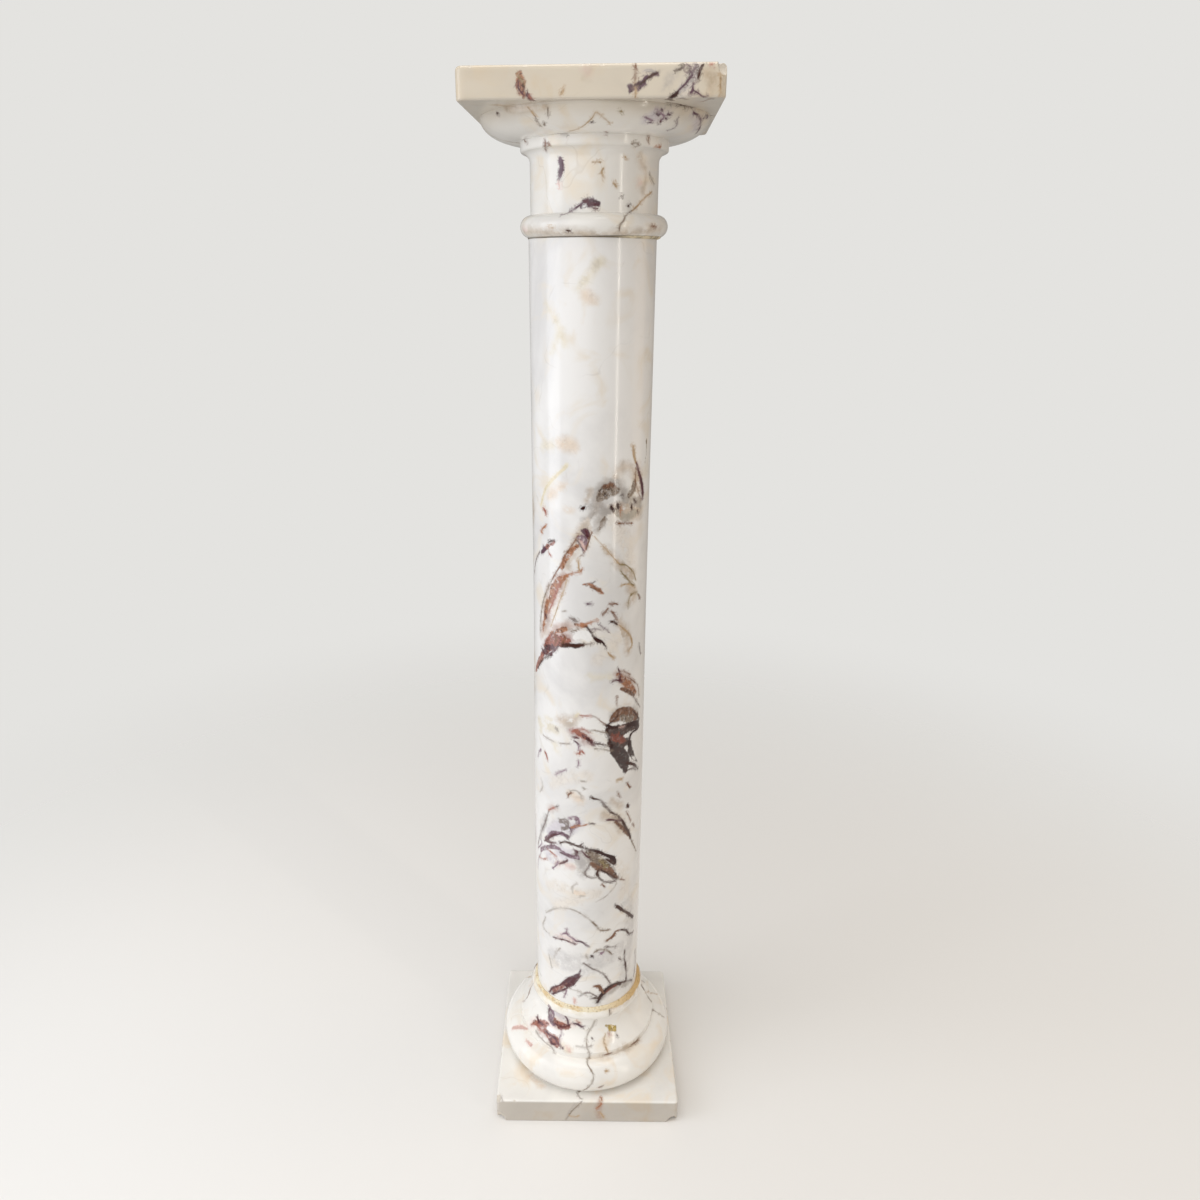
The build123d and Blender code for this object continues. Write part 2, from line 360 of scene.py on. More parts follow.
front_angles = np.linspace(-FRONT_ARC / 2, FRONT_ARC / 2, FRONT_COLUMNS) - 90
back_angles = np.linspace(FRONT_ARC / 2, 360 - FRONT_ARC / 2, BACK_COLUMNS + 2)[1:-1] - 90
shaft_angles = np.radians(np.concatenate([front_angles, back_angles]))
shaft_directions = np.column_stack([np.cos(shaft_angles), np.sin(shaft_angles)])
low, high = LOWER_JOINT + SHAFT_ARRIS, UPPER_JOINT - SHAFT_ARRIS
veined = np.linspace(low, VEINED_TOP, round((VEINED_TOP - low) / VEINED_STEP) + 1)
plain = np.linspace(VEINED_TOP, high, round((high - VEINED_TOP) / PLAIN_STEP) + 1)
side = [(shaft_radius(z), z) for z in np.concatenate([veined, plain[1:]])[::-1]]
shaft_profile = joined(
    line((SOCKET, UPPER_JOINT - SOCKET_DEPTH), (SOCKET, UPPER_JOINT), SOCKET_PITCH),
    line((SOCKET, UPPER_JOINT), (TOP_RADIUS - SHAFT_ARRIS, UPPER_JOINT), SOCKET_PITCH),
    side,
    line((FOOT_RADIUS - SHAFT_ARRIS, LOWER_JOINT), (SOCKET, LOWER_JOINT), SOCKET_PITCH),
    line((SOCKET, LOWER_JOINT), (SOCKET, LOWER_JOINT + SOCKET_DEPTH + END_GAP), SOCKET_PITCH),
)
shaft_rows = [np.array([[0.0, 0.0, UPPER_JOINT - SOCKET_DEPTH]])]
shaft_rows += [ring_row(shaft_directions, r, z) for r, z in shaft_profile]
shaft_rows.append(np.array([[0.0, 0.0, LOWER_JOINT + SOCKET_DEPTH + END_GAP]]))
shaft = grid_object("shaft_stone", shaft_rows, "shaft")

# %% [markdown]
# ## The capital
# One block again: an astragal ring at the joint, a plain neck, a small cove up to a flat band, an
# echinus that swells like a cushion, and the square abacus. The whole stone sits turned about three
# degrees on the shaft and slipped 1 mm, so all its rows are turned and moved together.

# %% Capital
cap_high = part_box("capital")[1] / MM
TOP = cap_high.z
CAPITAL_TURN, CAPITAL_SLIP, ABACUS_HALF, ABACUS_CORNER, ABACUS_HEIGHT = -3.0, 1.0, 99.5, 6.5, 23.0
TOP_ARRIS, SOFFIT_ARRIS, TOP_SHARES = 3.0, 1.4, np.linspace(1, 0.1, 16)
NECK, ASTRAGAL, NECK_LENGTH, COVE = 54.6, 9.0, 40.5, 7.8
BAND_HEIGHT, BAND_ROUND, LIP, ECHINUS_SETBACK, ECHINUS_HEIGHT = 8.0, 1.5, 1.6, 4.0, 17.5

cove_foot = UPPER_JOINT + 2 * ASTRAGAL + NECK_LENGTH
band_foot, band_radius = cove_foot + COVE, NECK + COVE
lip_height, abacus_foot = band_foot + BAND_HEIGHT, TOP - ABACUS_HEIGHT
echinus_centre = (band_radius + LIP, abacus_foot)
echinus_radii = (ABACUS_HALF - ECHINUS_SETBACK - echinus_centre[0], ECHINUS_HEIGHT)
cap_profile = joined(
    line((SOCKET, UPPER_JOINT + SOCKET_DEPTH + END_GAP), (SOCKET, UPPER_JOINT), SOCKET_PITCH),
    line((SOCKET, UPPER_JOINT), (NECK, UPPER_JOINT), SOCKET_PITCH),
    arc((NECK, UPPER_JOINT + ASTRAGAL), (ASTRAGAL, ASTRAGAL), -90, 90, 1.2),
    line((NECK, UPPER_JOINT + 2 * ASTRAGAL), (NECK, cove_foot), 1.4),
    arc((band_radius, cove_foot), (COVE, COVE), 180, 100, 1.2),
    arc((band_radius - BAND_ROUND, band_foot + BAND_ROUND), (BAND_ROUND, BAND_ROUND), -80, 0, 0.6),
    line((band_radius, band_foot + BAND_ROUND), (band_radius, lip_height), TURNED_PITCH),
    line((band_radius, lip_height), (echinus_centre[0], lip_height), 0.8),
    arc(echinus_centre, echinus_radii, -90, 0, TURNED_PITCH),
)
soffit = square_row(ABACUS_HALF - SOFFIT_ARRIS, ABACUS_CORNER - SOFFIT_ARRIS, SLAB_STEPS, CAPITAL_TURN)
top_outline = square_row(ABACUS_HALF - TOP_ARRIS, ABACUS_CORNER - TOP_ARRIS, SLAB_STEPS, CAPITAL_TURN)
cap_rows = [np.array([[0.0, 0.0, UPPER_JOINT + SOCKET_DEPTH + END_GAP]])]
cap_rows += [ring_row(soffit, r, z) for r, z in cap_profile]
start, end = cap_rows[-1], level_row(soffit, abacus_foot)
cap_rows += [start + (end - start) * t for t in np.linspace(0, 1, TREAD_ROWS + 1)[1:]]
cap_rows += worn_edge(ABACUS_HALF, ABACUS_CORNER, abacus_foot, SOFFIT_ARRIS, False, CAPITAL_TURN)
cap_rows += slab_side(ABACUS_HALF, ABACUS_CORNER, abacus_foot + SOFFIT_ARRIS, TOP - TOP_ARRIS,
    CAPITAL_TURN)[::-1]
cap_rows += worn_edge(ABACUS_HALF, ABACUS_CORNER, TOP, TOP_ARRIS, True, CAPITAL_TURN)[::-1]
cap_rows += [level_row(top_outline * share, TOP) for share in TOP_SHARES]
cap_rows.append(np.array([[0.0, 0.0, TOP]]))
cap_rows = [row + (CAPITAL_SLIP, 0, 0) for row in cap_rows]

ABACUS_RIGHT_CHIP = (8.0, 9.0, 10.0)
swing = radians(CAPITAL_TURN)
corner_x = CAPITAL_SLIP + ABACUS_HALF * (cos(swing) + sin(swing))
corner_y = ABACUS_HALF * (sin(swing) - cos(swing))
cap_scars = [scar_sphere((corner_x, corner_y, TOP), (-1, 1, -1), ABACUS_RIGHT_CHIP)]
cap_scars += edge_nicks(ABACUS_HALF, TOP, TOP_ARRIS, 14, CAPITAL_TURN, CAPITAL_SLIP)
capital = grid_object("capital_stone", cap_rows, "capital", cap_scars)

# %% [markdown]
# ## Setting putty
# The shaft was bedded in a yellowish putty that squeezed out round its foot, and a little of it
# shows under the right of the astragal as a crescent. Nobody tooled it, so each bead is a ring of
# small profiles whose width and height wander.

# %% Putty beads
PUTTY_COLUMNS, PUTTY_STEPS = 300, 7
CLEAR = 0.05
BEAD_RISE, BEAD_WIDTH, BEAD_SHIFT, BEAD_FALL, BEAD_BULGE = 2.3, 3.6, 0.8, 1.6, 0.5
CRESCENT_TURN, RECESS_REACH, CRESCENT_REACH, RECESS_DROP, CRESCENT_DROP = 0.55, 0.6, 3.2, 0.15, 1.2
putty_random = np.random.default_rng(5)


def wander(angles, waves, size):
    """A smooth seeded unevenness round a ring, about -size to size."""
    total = np.zeros_like(angles)
    for wave in waves:
        total += np.sin(wave * angles + putty_random.uniform(0, 2 * pi)) * putty_random.uniform(0.4, 1)
    return total / len(waves) * 1.6 * size


around = np.linspace(0, 2 * pi, PUTTY_COLUMNS, endpoint=False)
rise = BEAD_RISE + wander(around, (5, 11, 23, 41, 67), 0.8)
width = BEAD_WIDTH + BEAD_SHIFT * np.cos(around) + wander(around, (4, 9, 17, 37, 59), 0.7)


def collar_top(radius):
    """Height of the collar's crown at a radius."""
    return collar_centre[1] + np.sqrt(COLLAR**2 - (radius - collar_centre[0]) ** 2)


def bead_rows(inner, outer, shape):
    """Rows of a bead from its inner edge to its outer edge; shape gives the height of each share."""
    rows = []
    for share in np.linspace(0, 1, PUTTY_STEPS + 1):
        radius = inner + (outer - inner) * share
        rows.append(np.column_stack([radius * np.cos(around), radius * np.sin(around),
            shape(share, radius)]))
    return rows


def bead_crown(share, radius):
    """Height of the lower bead's upper face: bulging, from the shaft down to the collar."""
    fall = share**BEAD_FALL
    return (LOWER_JOINT + rise) * (1 - fall) + collar_top(radius) * fall + BEAD_BULGE * sin(pi * share)


lower_inner, lower_outer = FOOT_RADIUS + CLEAR + 0 * around, FOOT_RADIUS + width
over = bead_rows(lower_inner, lower_outer, bead_crown)
beneath = bead_rows(lower_inner, lower_outer, lambda share, radius: collar_top(radius) + CLEAR)
lower_putty = grid_object("lower_putty_bead", over + beneath[::-1], "lower_putty",
    ring=True)

crescent = np.clip(np.cos(around + CRESCENT_TURN) * 1.6 - 0.6, 0, 1)
reach = RECESS_REACH + CRESCENT_REACH * crescent + wander(around, (7, 15, 31), 0.15)
drop = RECESS_DROP + CRESCENT_DROP * crescent
upper_inner, upper_outer = TOP_RADIUS + CLEAR + 0 * around, TOP_RADIUS + np.maximum(reach, 0.3)


def astragal_under(radius):
    """Height of the astragal's underside at a radius."""
    aside = np.clip(radius - NECK - 1, 0, ASTRAGAL - 0.1)
    return UPPER_JOINT + ASTRAGAL - np.sqrt(ASTRAGAL**2 - aside**2)


def crescent_under(share, radius):
    """Height of the upper bead's lower face: hanging a little, from the shaft up to the astragal."""
    outer_height = astragal_under(radius) - CLEAR - 0.3
    return (UPPER_JOINT - drop) * (1 - share) + outer_height * share - 0.2 * sin(pi * share)


below = bead_rows(upper_inner, upper_outer, crescent_under)
above = bead_rows(upper_inner, upper_outer, lambda share, radius: astragal_under(radius) - CLEAR)
upper_putty = grid_object("upper_putty_bead", above + below[::-1], "upper_putty",
    ring=True)

# %% [markdown]
# ## Veins drawn one by one
# Every block of marble has its own veins, so noise alone never looks like this one. Each vein here
# is a short list of points picked on the photograph: x and y in pixels, and the width there.
# A vein belongs to one of three layers. A stain is wide and soft, a patch is a crisp area of
# another colour, and a vein is a line. Later layers lie over earlier ones. The tones are what the
# stone's minerals look like: iron gives the rust and sand, manganese the violet and black.

# %% Tones and layers
TONES = {
    "black": "#36120a",
    "umber": "#47271c",
    "sepia": "#80583f",
    "maroon": "#5c3238",
    "oxide": "#84381f",
    "violet": "#624450",
    "mauve": "#927784",
    "lilac": "#cfc7d2",
    "rust": "#b07a5a",
    "brick": "#a96c5c",
    "rose": "#e0bcb2",
    "peach": "#e8cfb2",
    "tan": "#bfa381",
    "sand": "#e6dabc",
    "cream": "#ebe2d6",
    "olive": "#8f7c54",
    "grey": "#8c807b",
    "ash": "#bcb3ab",
    "smoke": "#8d7c6c",
    "white": "#efedea",
    "mist": "#d6d3d1",
    "mustard": "#b59a46",
}
STAIN, PATCH, VEIN = "stain", "patch", "vein"

# %% Veins of the shaft
SHAFT_VEINS = [
    # Clouds near the top
    (STAIN, "peach", (585, 294, 8), (590, 300, 10), (596, 303, 6)),
    (STAIN, "sand", (546, 305, 4), (556, 322, 5), (565, 345, 4)),
    (STAIN, "sand", (600, 262, 5), (590, 275, 6), (578, 288, 5)),
    (STAIN, "sand", (560, 330, 6), (552, 352, 4)),
    (STAIN, "sand", (544, 447, 10), (552, 446, 8)),
    (STAIN, "peach", (561, 445, 12), (573, 446, 11)),
    (VEIN, "sand", (541, 505, 2), (545, 490, 2.5), (553, 479, 3), (567, 466, 3)),
    (STAIN, "peach", (549, 497, 4), (558, 490, 5), (567, 484, 4)),
    (STAIN, "peach", (567, 510, 6), (571, 511, 5)),
    (STAIN, "tan", (590, 491, 3), (587, 500, 4)),
    (STAIN, "tan", (615, 474, 6), (617, 482, 5)),
    (STAIN, "tan", (622, 466, 7), (633, 466, 6)),
    # Pit and red spots
    (VEIN, "black", (581, 509, 2), (583, 508, 3.4), (584.6, 506.5, 2)),
    (VEIN, "brick", (543.5, 508, 2), (546, 513, 3)),
    (VEIN, "rust", (541, 531, 2.8), (542.5, 533, 2)),
    (VEIN, "rust", (541, 530, 2), (546.5, 525, 1.6)),
    (VEIN, "brick", (549, 553, 1.5), (551, 556, 2)),
    # Dash on the left edge
    (PATCH, "brick", (545, 548, 3), (549, 545, 5), (554, 542, 3)),
    (VEIN, "umber", (548.5, 542.5, 1.4), (551, 540.8, 2), (554.5, 541, 1.8)),
    (VEIN, "violet", (543.3, 545.5, 2), (544.5, 549, 4.4), (541.5, 552.5, 3)),
    (VEIN, "grey", (540, 552, 1.4), (537.5, 556, 1.6), (535.6, 563, 1.4), (534.6, 573, 1.6)),
    # Grey cloud with black pits
    (STAIN, "smoke", (586, 519, 8), (594, 512, 11), (601, 500, 15), (609, 489, 18), (618, 488, 15),
        (625, 494, 10)),
    (STAIN, "tan", (611, 513, 18), (624, 512, 24), (638, 509, 20)),
    (STAIN, "smoke", (624, 497, 10), (632, 498, 14), (640, 502, 12)),
    (STAIN, "smoke", (606, 512, 12), (598, 522, 10)),
    (STAIN, "tan", (618, 470, 8), (630, 467, 9), (637, 478, 12), (637, 490, 14)),
    (STAIN, "smoke", (608, 514, 8), (604, 522, 8), (598, 530, 5)),
    (STAIN, "olive", (618, 514, 8), (626, 518, 9), (634, 513, 8)),
    (PATCH, "smoke", (600, 499, 7), (606, 492, 13), (613, 490, 11), (618, 490, 6)),
    (PATCH, "sepia", (604, 487, 4), (609, 485, 5), (614, 486, 4)),
    (PATCH, "smoke", (605, 519, 4), (602, 524, 5), (599, 529, 3)),
    (PATCH, "smoke", (629, 496, 5), (633, 490, 7), (635, 482, 5)),
    (VEIN, "ash", (590, 519, 1.4), (596, 510, 1.8), (600, 500, 1.4)),
    (VEIN, "ash", (607, 519, 1.6), (602, 525, 1.8), (596, 530, 1.2)),
    (VEIN, "black", (622.4, 494.5, 2), (623, 495.5, 1.6)),
    (VEIN, "black", (617.6, 503.6, 2.6), (618.2, 508, 3.2)),
    (VEIN, "black", (610.8, 506, 2), (612, 508, 2.8), (614, 511, 1.6)),
    (VEIN, "black", (634, 500, 2.6), (636.5, 503, 1.6)),
    (VEIN, "black", (631.3, 505.5, 2), (631.8, 508.5, 2)),
    (VEIN, "black", (637, 510.5, 1.2), (638, 513, 1.2)),
    (VEIN, "rust", (621, 508, 1.2), (620, 513, 1.4), (621, 517, 1)),
    (VEIN, "sepia", (617.5, 523, 1.4), (621, 523.8, 1.8), (625, 523, 1.2), (632, 523.3, 1.6)),
    # Streak on the right edge
    (VEIN, "tan", (633, 446, 3), (634, 455, 3), (636, 463, 2.4)),
    (STAIN, "rust", (637, 464, 4), (640, 478, 6), (643, 494, 5)),
    (VEIN, "maroon", (636.4, 463, 2.2), (638.5, 471, 3.2), (641, 480, 4), (642.6, 490, 4),
        (642.6, 498, 2.4)),
    (VEIN, "sepia", (636, 468, 1), (635.6, 480, 1.2), (637.6, 490, 1), (641, 500, 1)),
    (PATCH, "olive", (646.5, 440, 2), (646.5, 452, 2.4), (645, 462, 1.6)),
    # Diagonal band
    (STAIN, "tan", (588, 522, 8), (582, 534, 11), (574, 550, 11), (566, 564, 11)),
    (STAIN, "rust", (562, 577, 12), (555, 590, 15), (549, 604, 12), (546, 620, 9), (542, 636, 6)),
    (PATCH, "violet", (582, 531, 4), (586, 532, 7), (588, 537, 5)),
    (PATCH, "mauve", (578, 538, 4), (582, 538, 7), (586, 542, 6), (585, 549, 4)),
    (PATCH, "rust", (576, 546, 4), (572, 550, 6), (568, 556, 6), (563, 564, 5), (561, 570, 3)),
    (PATCH, "rust", (567, 576, 4), (561, 580, 8), (556, 586, 11), (553, 594, 10), (551, 601, 6)),
    (PATCH, "rust", (548, 600, 4), (546, 609, 5), (545, 618, 4), (543, 630, 3)),
    (VEIN, "violet", (577.6, 540.5, 1.6), (581, 546, 2.2), (584.5, 551, 1.6)),
    (VEIN, "maroon", (585.4, 530.6, 2), (587.5, 534, 2.8), (587.4, 538, 1.8)),
    (VEIN, "rose", (580.5, 541, 1.4), (583.5, 546, 1.8), (585.5, 551, 1.2)),
    (VEIN, "sepia", (592, 532, 1), (588.4, 542, 1.2), (586, 550, 1.2), (580, 557, 1)),
    (VEIN, "sepia", (578, 535, 1), (571, 547, 1.2), (566, 554, 1.6), (562, 563, 1.2), (557, 571, 1.4),
        (552, 580, 1.2)),
    (VEIN, "smoke", (552, 580, 1), (547, 590, 1.2), (543.6, 600, 1), (541.4, 612, 1), (540, 630, 1)),
    (VEIN, "tan", (567, 580, 1), (564, 590, 1.2), (560, 600, 1), (556, 612, 1), (551, 626, 0.8)),
    (VEIN, "rust", (564, 577, 2), (569, 574.4, 2), (574, 572.8, 1.6), (580, 571.8, 1.8), (582.6, 568.6, 1)),
    (VEIN, "tan", (578, 558, 1), (578.6, 565, 1.4), (579.4, 571, 1)),
    (VEIN, "brick", (560, 582, 1.2), (556, 592, 1.6), (553, 602, 1.2), (549, 612, 1)),
    (VEIN, "maroon", (545, 612.5, 1.4), (546.6, 618, 2)),
    # Rust dash
    (PATCH, "rust", (582.5, 585, 1.6), (587, 584.6, 3.4), (591, 585, 5), (597, 589.5, 3.4),
        (603, 593.5, 2.4)),
    (VEIN, "sepia", (590, 587, 1.2), (595, 589, 1.4), (600, 591, 1)),
    (VEIN, "grey", (592, 583.5, 1.2), (595, 581.5, 1.2)),
    (VEIN, "violet", (586.8, 603.8, 1.8), (589, 604, 2.6), (591.2, 604, 1.8)),
    # Small brown marks
    (VEIN, "sepia", (609.5, 603.5, 2), (611.5, 604.6, 2.8), (614, 603.6, 1.6), (618, 604.6, 1.2)),
    (VEIN, "sepia", (608, 608.6, 1.6), (605.5, 611.5, 2.6), (603.4, 613.5, 2.6), (603, 615.6, 1.4)),
    (VEIN, "sepia", (611, 611.4, 1.6), (614, 614.6, 2.6), (617.4, 619.4, 2)),
    (VEIN, "umber", (611, 621.6, 2.4), (614, 622, 2.8), (617, 624.4, 2)),
    (VEIN, "tan", (619, 625, 1.2), (625.5, 630.5, 1.6), (630.5, 636.5, 2.2), (632, 644, 1.8),
        (629, 650, 1)),
    (VEIN, "tan", (608, 652.6, 1.4), (611, 656, 2), (614, 658, 1.8)),
    (VEIN, "grey", (639, 643.5, 1.4), (639.6, 648, 2.4), (640.4, 654, 1.2)),
    (STAIN, "sand", (592, 677, 3), (602, 677, 4), (610, 678, 3)),
    # Tan loops on the right
    (STAIN, "tan", (630, 588, 9), (634, 597, 8), (628, 604, 5)),
    (STAIN, "tan", (604, 549, 6), (613, 556, 8), (622, 566, 9), (632, 576, 9)),
    (VEIN, "tan", (594, 536, 0.8), (602, 545, 1), (612, 556, 1.2), (620, 565, 1.2)),
    (VEIN, "olive", (620, 565, 1), (625, 564.6, 1), (630.5, 568.6, 1.2), (634, 574, 1.2),
        (635.6, 580, 1.4)),
    (VEIN, "olive", (620, 570, 1.2), (623, 574, 1.2), (627.4, 578.6, 1.8), (631, 583.4, 2),
        (634.4, 586, 1.6)),
    (VEIN, "tan", (621, 586, 2), (626, 584, 1.4), (631, 585, 1.4), (635, 588, 1.2)),
    (VEIN, "olive", (628.6, 606, 1.2), (628.6, 600, 1.6), (631, 595, 2.2), (636, 592, 1.6),
        (639, 596, 1.4)),
    (VEIN, "sepia", (638.6, 594.6, 1.8), (639.6, 598, 2.8)),
    # Maroon patch
    (STAIN, "rust", (550, 634, 9), (558, 629, 9), (568, 626, 7), (577, 627, 5)),
    (STAIN, "brick", (548, 644, 13), (558, 638, 15), (568, 637, 9)),
    (PATCH, "rust", (552, 634, 5), (558, 631, 5), (566, 629, 4)),
    (PATCH, "brick", (546, 650, 8), (550, 643, 14), (556, 640, 14), (563, 640, 10), (568, 640, 5)),
    (PATCH, "brick", (544, 652, 5), (541, 658, 7), (538, 664, 6), (536, 671, 3)),
    (PATCH, "rust", (577, 625, 4), (582, 625.4, 5), (586, 625.6, 3)),
    (PATCH, "maroon", (544, 652, 6), (548, 648, 7), (553, 647, 5)),
    (PATCH, "umber", (562, 645.4, 3), (569, 645.4, 4), (577, 645.6, 5), (583, 645, 3)),
    (VEIN, "maroon", (541.6, 647.6, 1.2), (544, 653, 1.8), (548.6, 654.8, 2.6), (553, 651.6, 2.4),
        (557, 647.6, 2)),
    (VEIN, "umber", (557, 647, 1.4), (561, 645.4, 1.8), (567, 645, 2.6), (573, 645.4, 3.2), (580, 645.6, 3),
        (584, 643.8, 1.6)),
    (VEIN, "umber", (584, 644, 0.9), (588, 644.4, 0.8), (593, 643.8, 0.7)),
    (VEIN, "sepia", (553, 632, 1.2), (556.6, 638.6, 1.4), (555, 644, 1.2)),
    (VEIN, "sepia", (562, 632.6, 1.2), (565.6, 638.6, 1.4), (561.4, 643, 1.2)),
    (VEIN, "umber", (552.4, 655, 1.4), (546, 657, 1.6), (541.4, 661.6, 1.2), (538, 668, 1)),
    (VEIN, "white", (575, 637.6, 5), (580, 634.8, 8), (585.6, 635.6, 9.6), (588.6, 639, 6)),
    (VEIN, "smoke", (570.6, 631, 1), (575, 630.6, 1.2), (578.6, 629, 0.8)),
    (VEIN, "black", (586, 626.4, 1.4), (588.8, 629.4, 1.6), (591.4, 632.4, 2), (593.4, 636, 1.6),
        (595.6, 638.6, 3)),
    (VEIN, "black", (595.6, 639, 3.6), (599, 641, 4.4), (602, 641.4, 2.4), (604, 644.6, 1.4),
        (606.6, 647.4, 1)),
    (VEIN, "rust", (582, 625.4, 2), (589, 623, 1.6), (596.4, 620.6, 1)),
    (VEIN, "violet", (591.6, 629.6, 1.2), (595, 629, 1.8), (600, 629.4, 1.2), (604, 628.6, 1)),
    (VEIN, "violet", (599.6, 624.8, 1), (602.6, 627.4, 1.6), (606, 629.6, 1.6), (609, 632, 1)),
    (VEIN, "grey", (569.6, 617.6, 1.6), (573, 619.2, 3.4), (577, 621.8, 2.2)),
    (VEIN, "ash", (562, 611.4, 1.4), (566, 611, 1.8)),
    # Brown marks above the dark patch
    (STAIN, "rust", (619, 674, 8), (627, 682, 14), (634, 691, 11)),
    (PATCH, "rust", (618, 674, 4), (623, 681, 8), (630, 686, 7), (635, 692, 6)),
    (PATCH, "sepia", (621, 689, 4), (628, 691, 5), (634, 695, 4)),
    (VEIN, "maroon", (618, 668, 1.2), (620, 674, 2), (620, 682, 1.8)),
    (VEIN, "maroon", (612, 682, 1.6), (616, 680, 2.4), (622, 681, 1.2)),
    (VEIN, "sepia", (621, 671, 1.2), (626, 672, 1.4), (629.6, 674.6, 1.6)),
    (VEIN, "sepia", (624.6, 676, 1), (632, 680, 1.2), (637.6, 685.6, 1), (639, 696, 1)),
    (VEIN, "grey", (631.6, 693, 1), (636, 700.6, 1.2), (640, 707, 1)),
    (VEIN, "sepia", (617, 696, 0.6), (617, 706, 0.6)),
    (STAIN, "tan", (625, 705, 4), (630, 704, 4)),
    # Dark red-brown patch
    (STAIN, "smoke", (613, 717, 9), (624, 711, 12), (635, 715, 12)),
    (PATCH, "sepia", (612, 720, 7), (619, 715, 13), (628, 713, 13), (636, 717, 9)),
    (PATCH, "smoke", (622, 718, 8), (631, 719, 8)),
    (PATCH, "umber", (610, 730, 8), (616, 732, 14), (624, 730, 13), (632, 726, 9), (638, 726, 7)),
    (PATCH, "umber", (613, 742, 12), (619, 744, 15), (625, 742, 10)),
    (PATCH, "oxide", (613, 737, 7), (618, 738, 10), (623, 740, 7)),
    (PATCH, "black", (613, 748, 8), (618, 753, 13), (623, 758, 16), (625, 764, 12), (626, 770, 5)),
    (PATCH, "black", (629, 742, 5), (630, 750, 8), (633, 756, 5), (637, 761, 3)),
    (VEIN, "black", (606, 725, 2.4), (609.6, 726.6, 3.4), (613.4, 727.6, 2.6), (619, 727.6, 1.4)),
    (VEIN, "black", (606.6, 726, 1.6), (607.4, 733, 2.2), (609.4, 740, 2.4), (611.6, 747, 3)),
    (VEIN, "black", (627, 726, 2.8), (632, 723.6, 5), (637, 723.6, 7.2), (640.4, 724.6, 7.2)),
    (VEIN, "black", (637, 729, 2.4), (633, 731.6, 2.4), (631, 734, 2.8), (629.4, 739, 2.6), (629, 745, 3)),
    (VEIN, "umber", (617, 709, 1), (618.4, 713, 1.2), (616, 718.6, 1.4), (609, 723.6, 1.2)),
    (VEIN, "umber", (633, 711, 1), (637, 715.6, 1.6), (639, 719, 2)),
    (VEIN, "umber", (627, 763, 3), (633.6, 764.4, 3), (638, 769, 1.6)),
    (VEIN, "umber", (625.6, 772, 1.8), (628.4, 769.6, 1.4), (633, 768.4, 1.2), (636, 770, 1)),
    (VEIN, "white", (634, 742, 5), (637, 747, 6), (638, 752, 4)),
    (VEIN, "white", (632.6, 757, 2.6), (635, 759, 2.6)),
    (VEIN, "rose", (619, 727.2, 0.7), (624, 726.8, 0.7)),
    # Lines into the dark patch
    (VEIN, "sepia", (606, 724.6, 1.2), (601, 721.6, 1.2), (596.6, 717.6, 1), (593, 715.8, 0.9)),
    (VEIN, "brick", (592, 715.8, 0.9), (586, 716, 1.2), (579, 715.4, 1)),
    (VEIN, "smoke", (607.6, 733, 1.2), (601, 731.8, 1.2), (595, 730.6, 0.9), (588, 731.6, 0.8)),
    (VEIN, "umber", (610.6, 746.6, 1.4), (604.6, 745, 1.2), (598, 744, 1.4), (592, 743, 1)),
    (VEIN, "smoke", (612, 750.6, 1), (604, 749.6, 0.9), (594, 748.4, 0.8)),
    (VEIN, "sand", (576, 716, 2.4), (578.6, 713.6, 2)),
    # Pink cluster
    (STAIN, "brick", (574, 732, 8), (581, 736, 10), (590, 741, 6)),
    (STAIN, "tan", (560, 720, 9), (570, 722, 9), (577, 717, 6)),
    (STAIN, "sand", (545, 726, 10), (556, 730, 8)),
    (PATCH, "brick", (575, 731, 4), (580, 734, 5), (586, 737, 4), (591, 741, 3)),
    (STAIN, "sand", (540, 722, 7), (541, 731, 6)),
    (STAIN, "sand", (547, 718, 5), (550, 721, 5)),
    (STAIN, "sand", (554, 744, 6), (556, 750, 7)),
    (VEIN, "brick", (571.6, 732, 2), (575.6, 730.6, 3), (580, 729, 1.8), (585.6, 730, 1.4),
        (589, 732.6, 1.6)),
    (VEIN, "brick", (577, 731, 3), (581, 735, 3.4), (585, 738, 3), (589, 739.4, 2)),
    (VEIN, "maroon", (572.6, 737, 2), (576, 737.2, 2.2), (578.6, 738, 1.4)),
    (VEIN, "maroon", (583, 735.4, 1.6), (587, 738.4, 2.2), (591.4, 742, 3), (594.4, 745.4, 2)),
    (VEIN, "black", (586.8, 739, 2), (588.8, 740.6, 2.6)),
    (VEIN, "violet", (574.6, 741, 1.4), (577, 742.6, 1.8), (579, 745, 1.4)),
    (VEIN, "mauve", (578.4, 746, 1), (578.8, 750, 1.2)),
    (VEIN, "brick", (576.6, 753.6, 1.8), (579.4, 753.6, 2.6), (580.4, 750.6, 1.6)),
    (VEIN, "brick", (582, 750.6, 1.4), (583.6, 753.6, 1.4)),
    (VEIN, "mauve", (578.4, 760, 1), (578.4, 763.6, 1.6), (577.6, 767, 1)),
    (VEIN, "mauve", (538, 757, 1), (539, 752, 1.6), (541, 749, 2)),
    (VEIN, "brick", (545, 752, 2.6), (546.6, 755.6, 2.4), (547.6, 760, 1.4)),
    (VEIN, "mauve", (555, 775, 1), (558, 773, 2), (562, 771.4, 1.4), (566, 770, 1)),
    (VEIN, "ash", (556, 728, 3), (558, 731, 2)),
    (VEIN, "ash", (543, 735, 1), (548, 738.6, 1.2), (554, 741.6, 1)),
    (VEIN, "ash", (560, 743.4, 1.6), (570, 743.8, 1.4)),
    (VEIN, "ash", (581, 781, 2), (584.6, 781.6, 2)),
    (VEIN, "smoke", (583, 787.8, 1.8), (584.6, 788.6, 1.6)),
    # Arc on the right
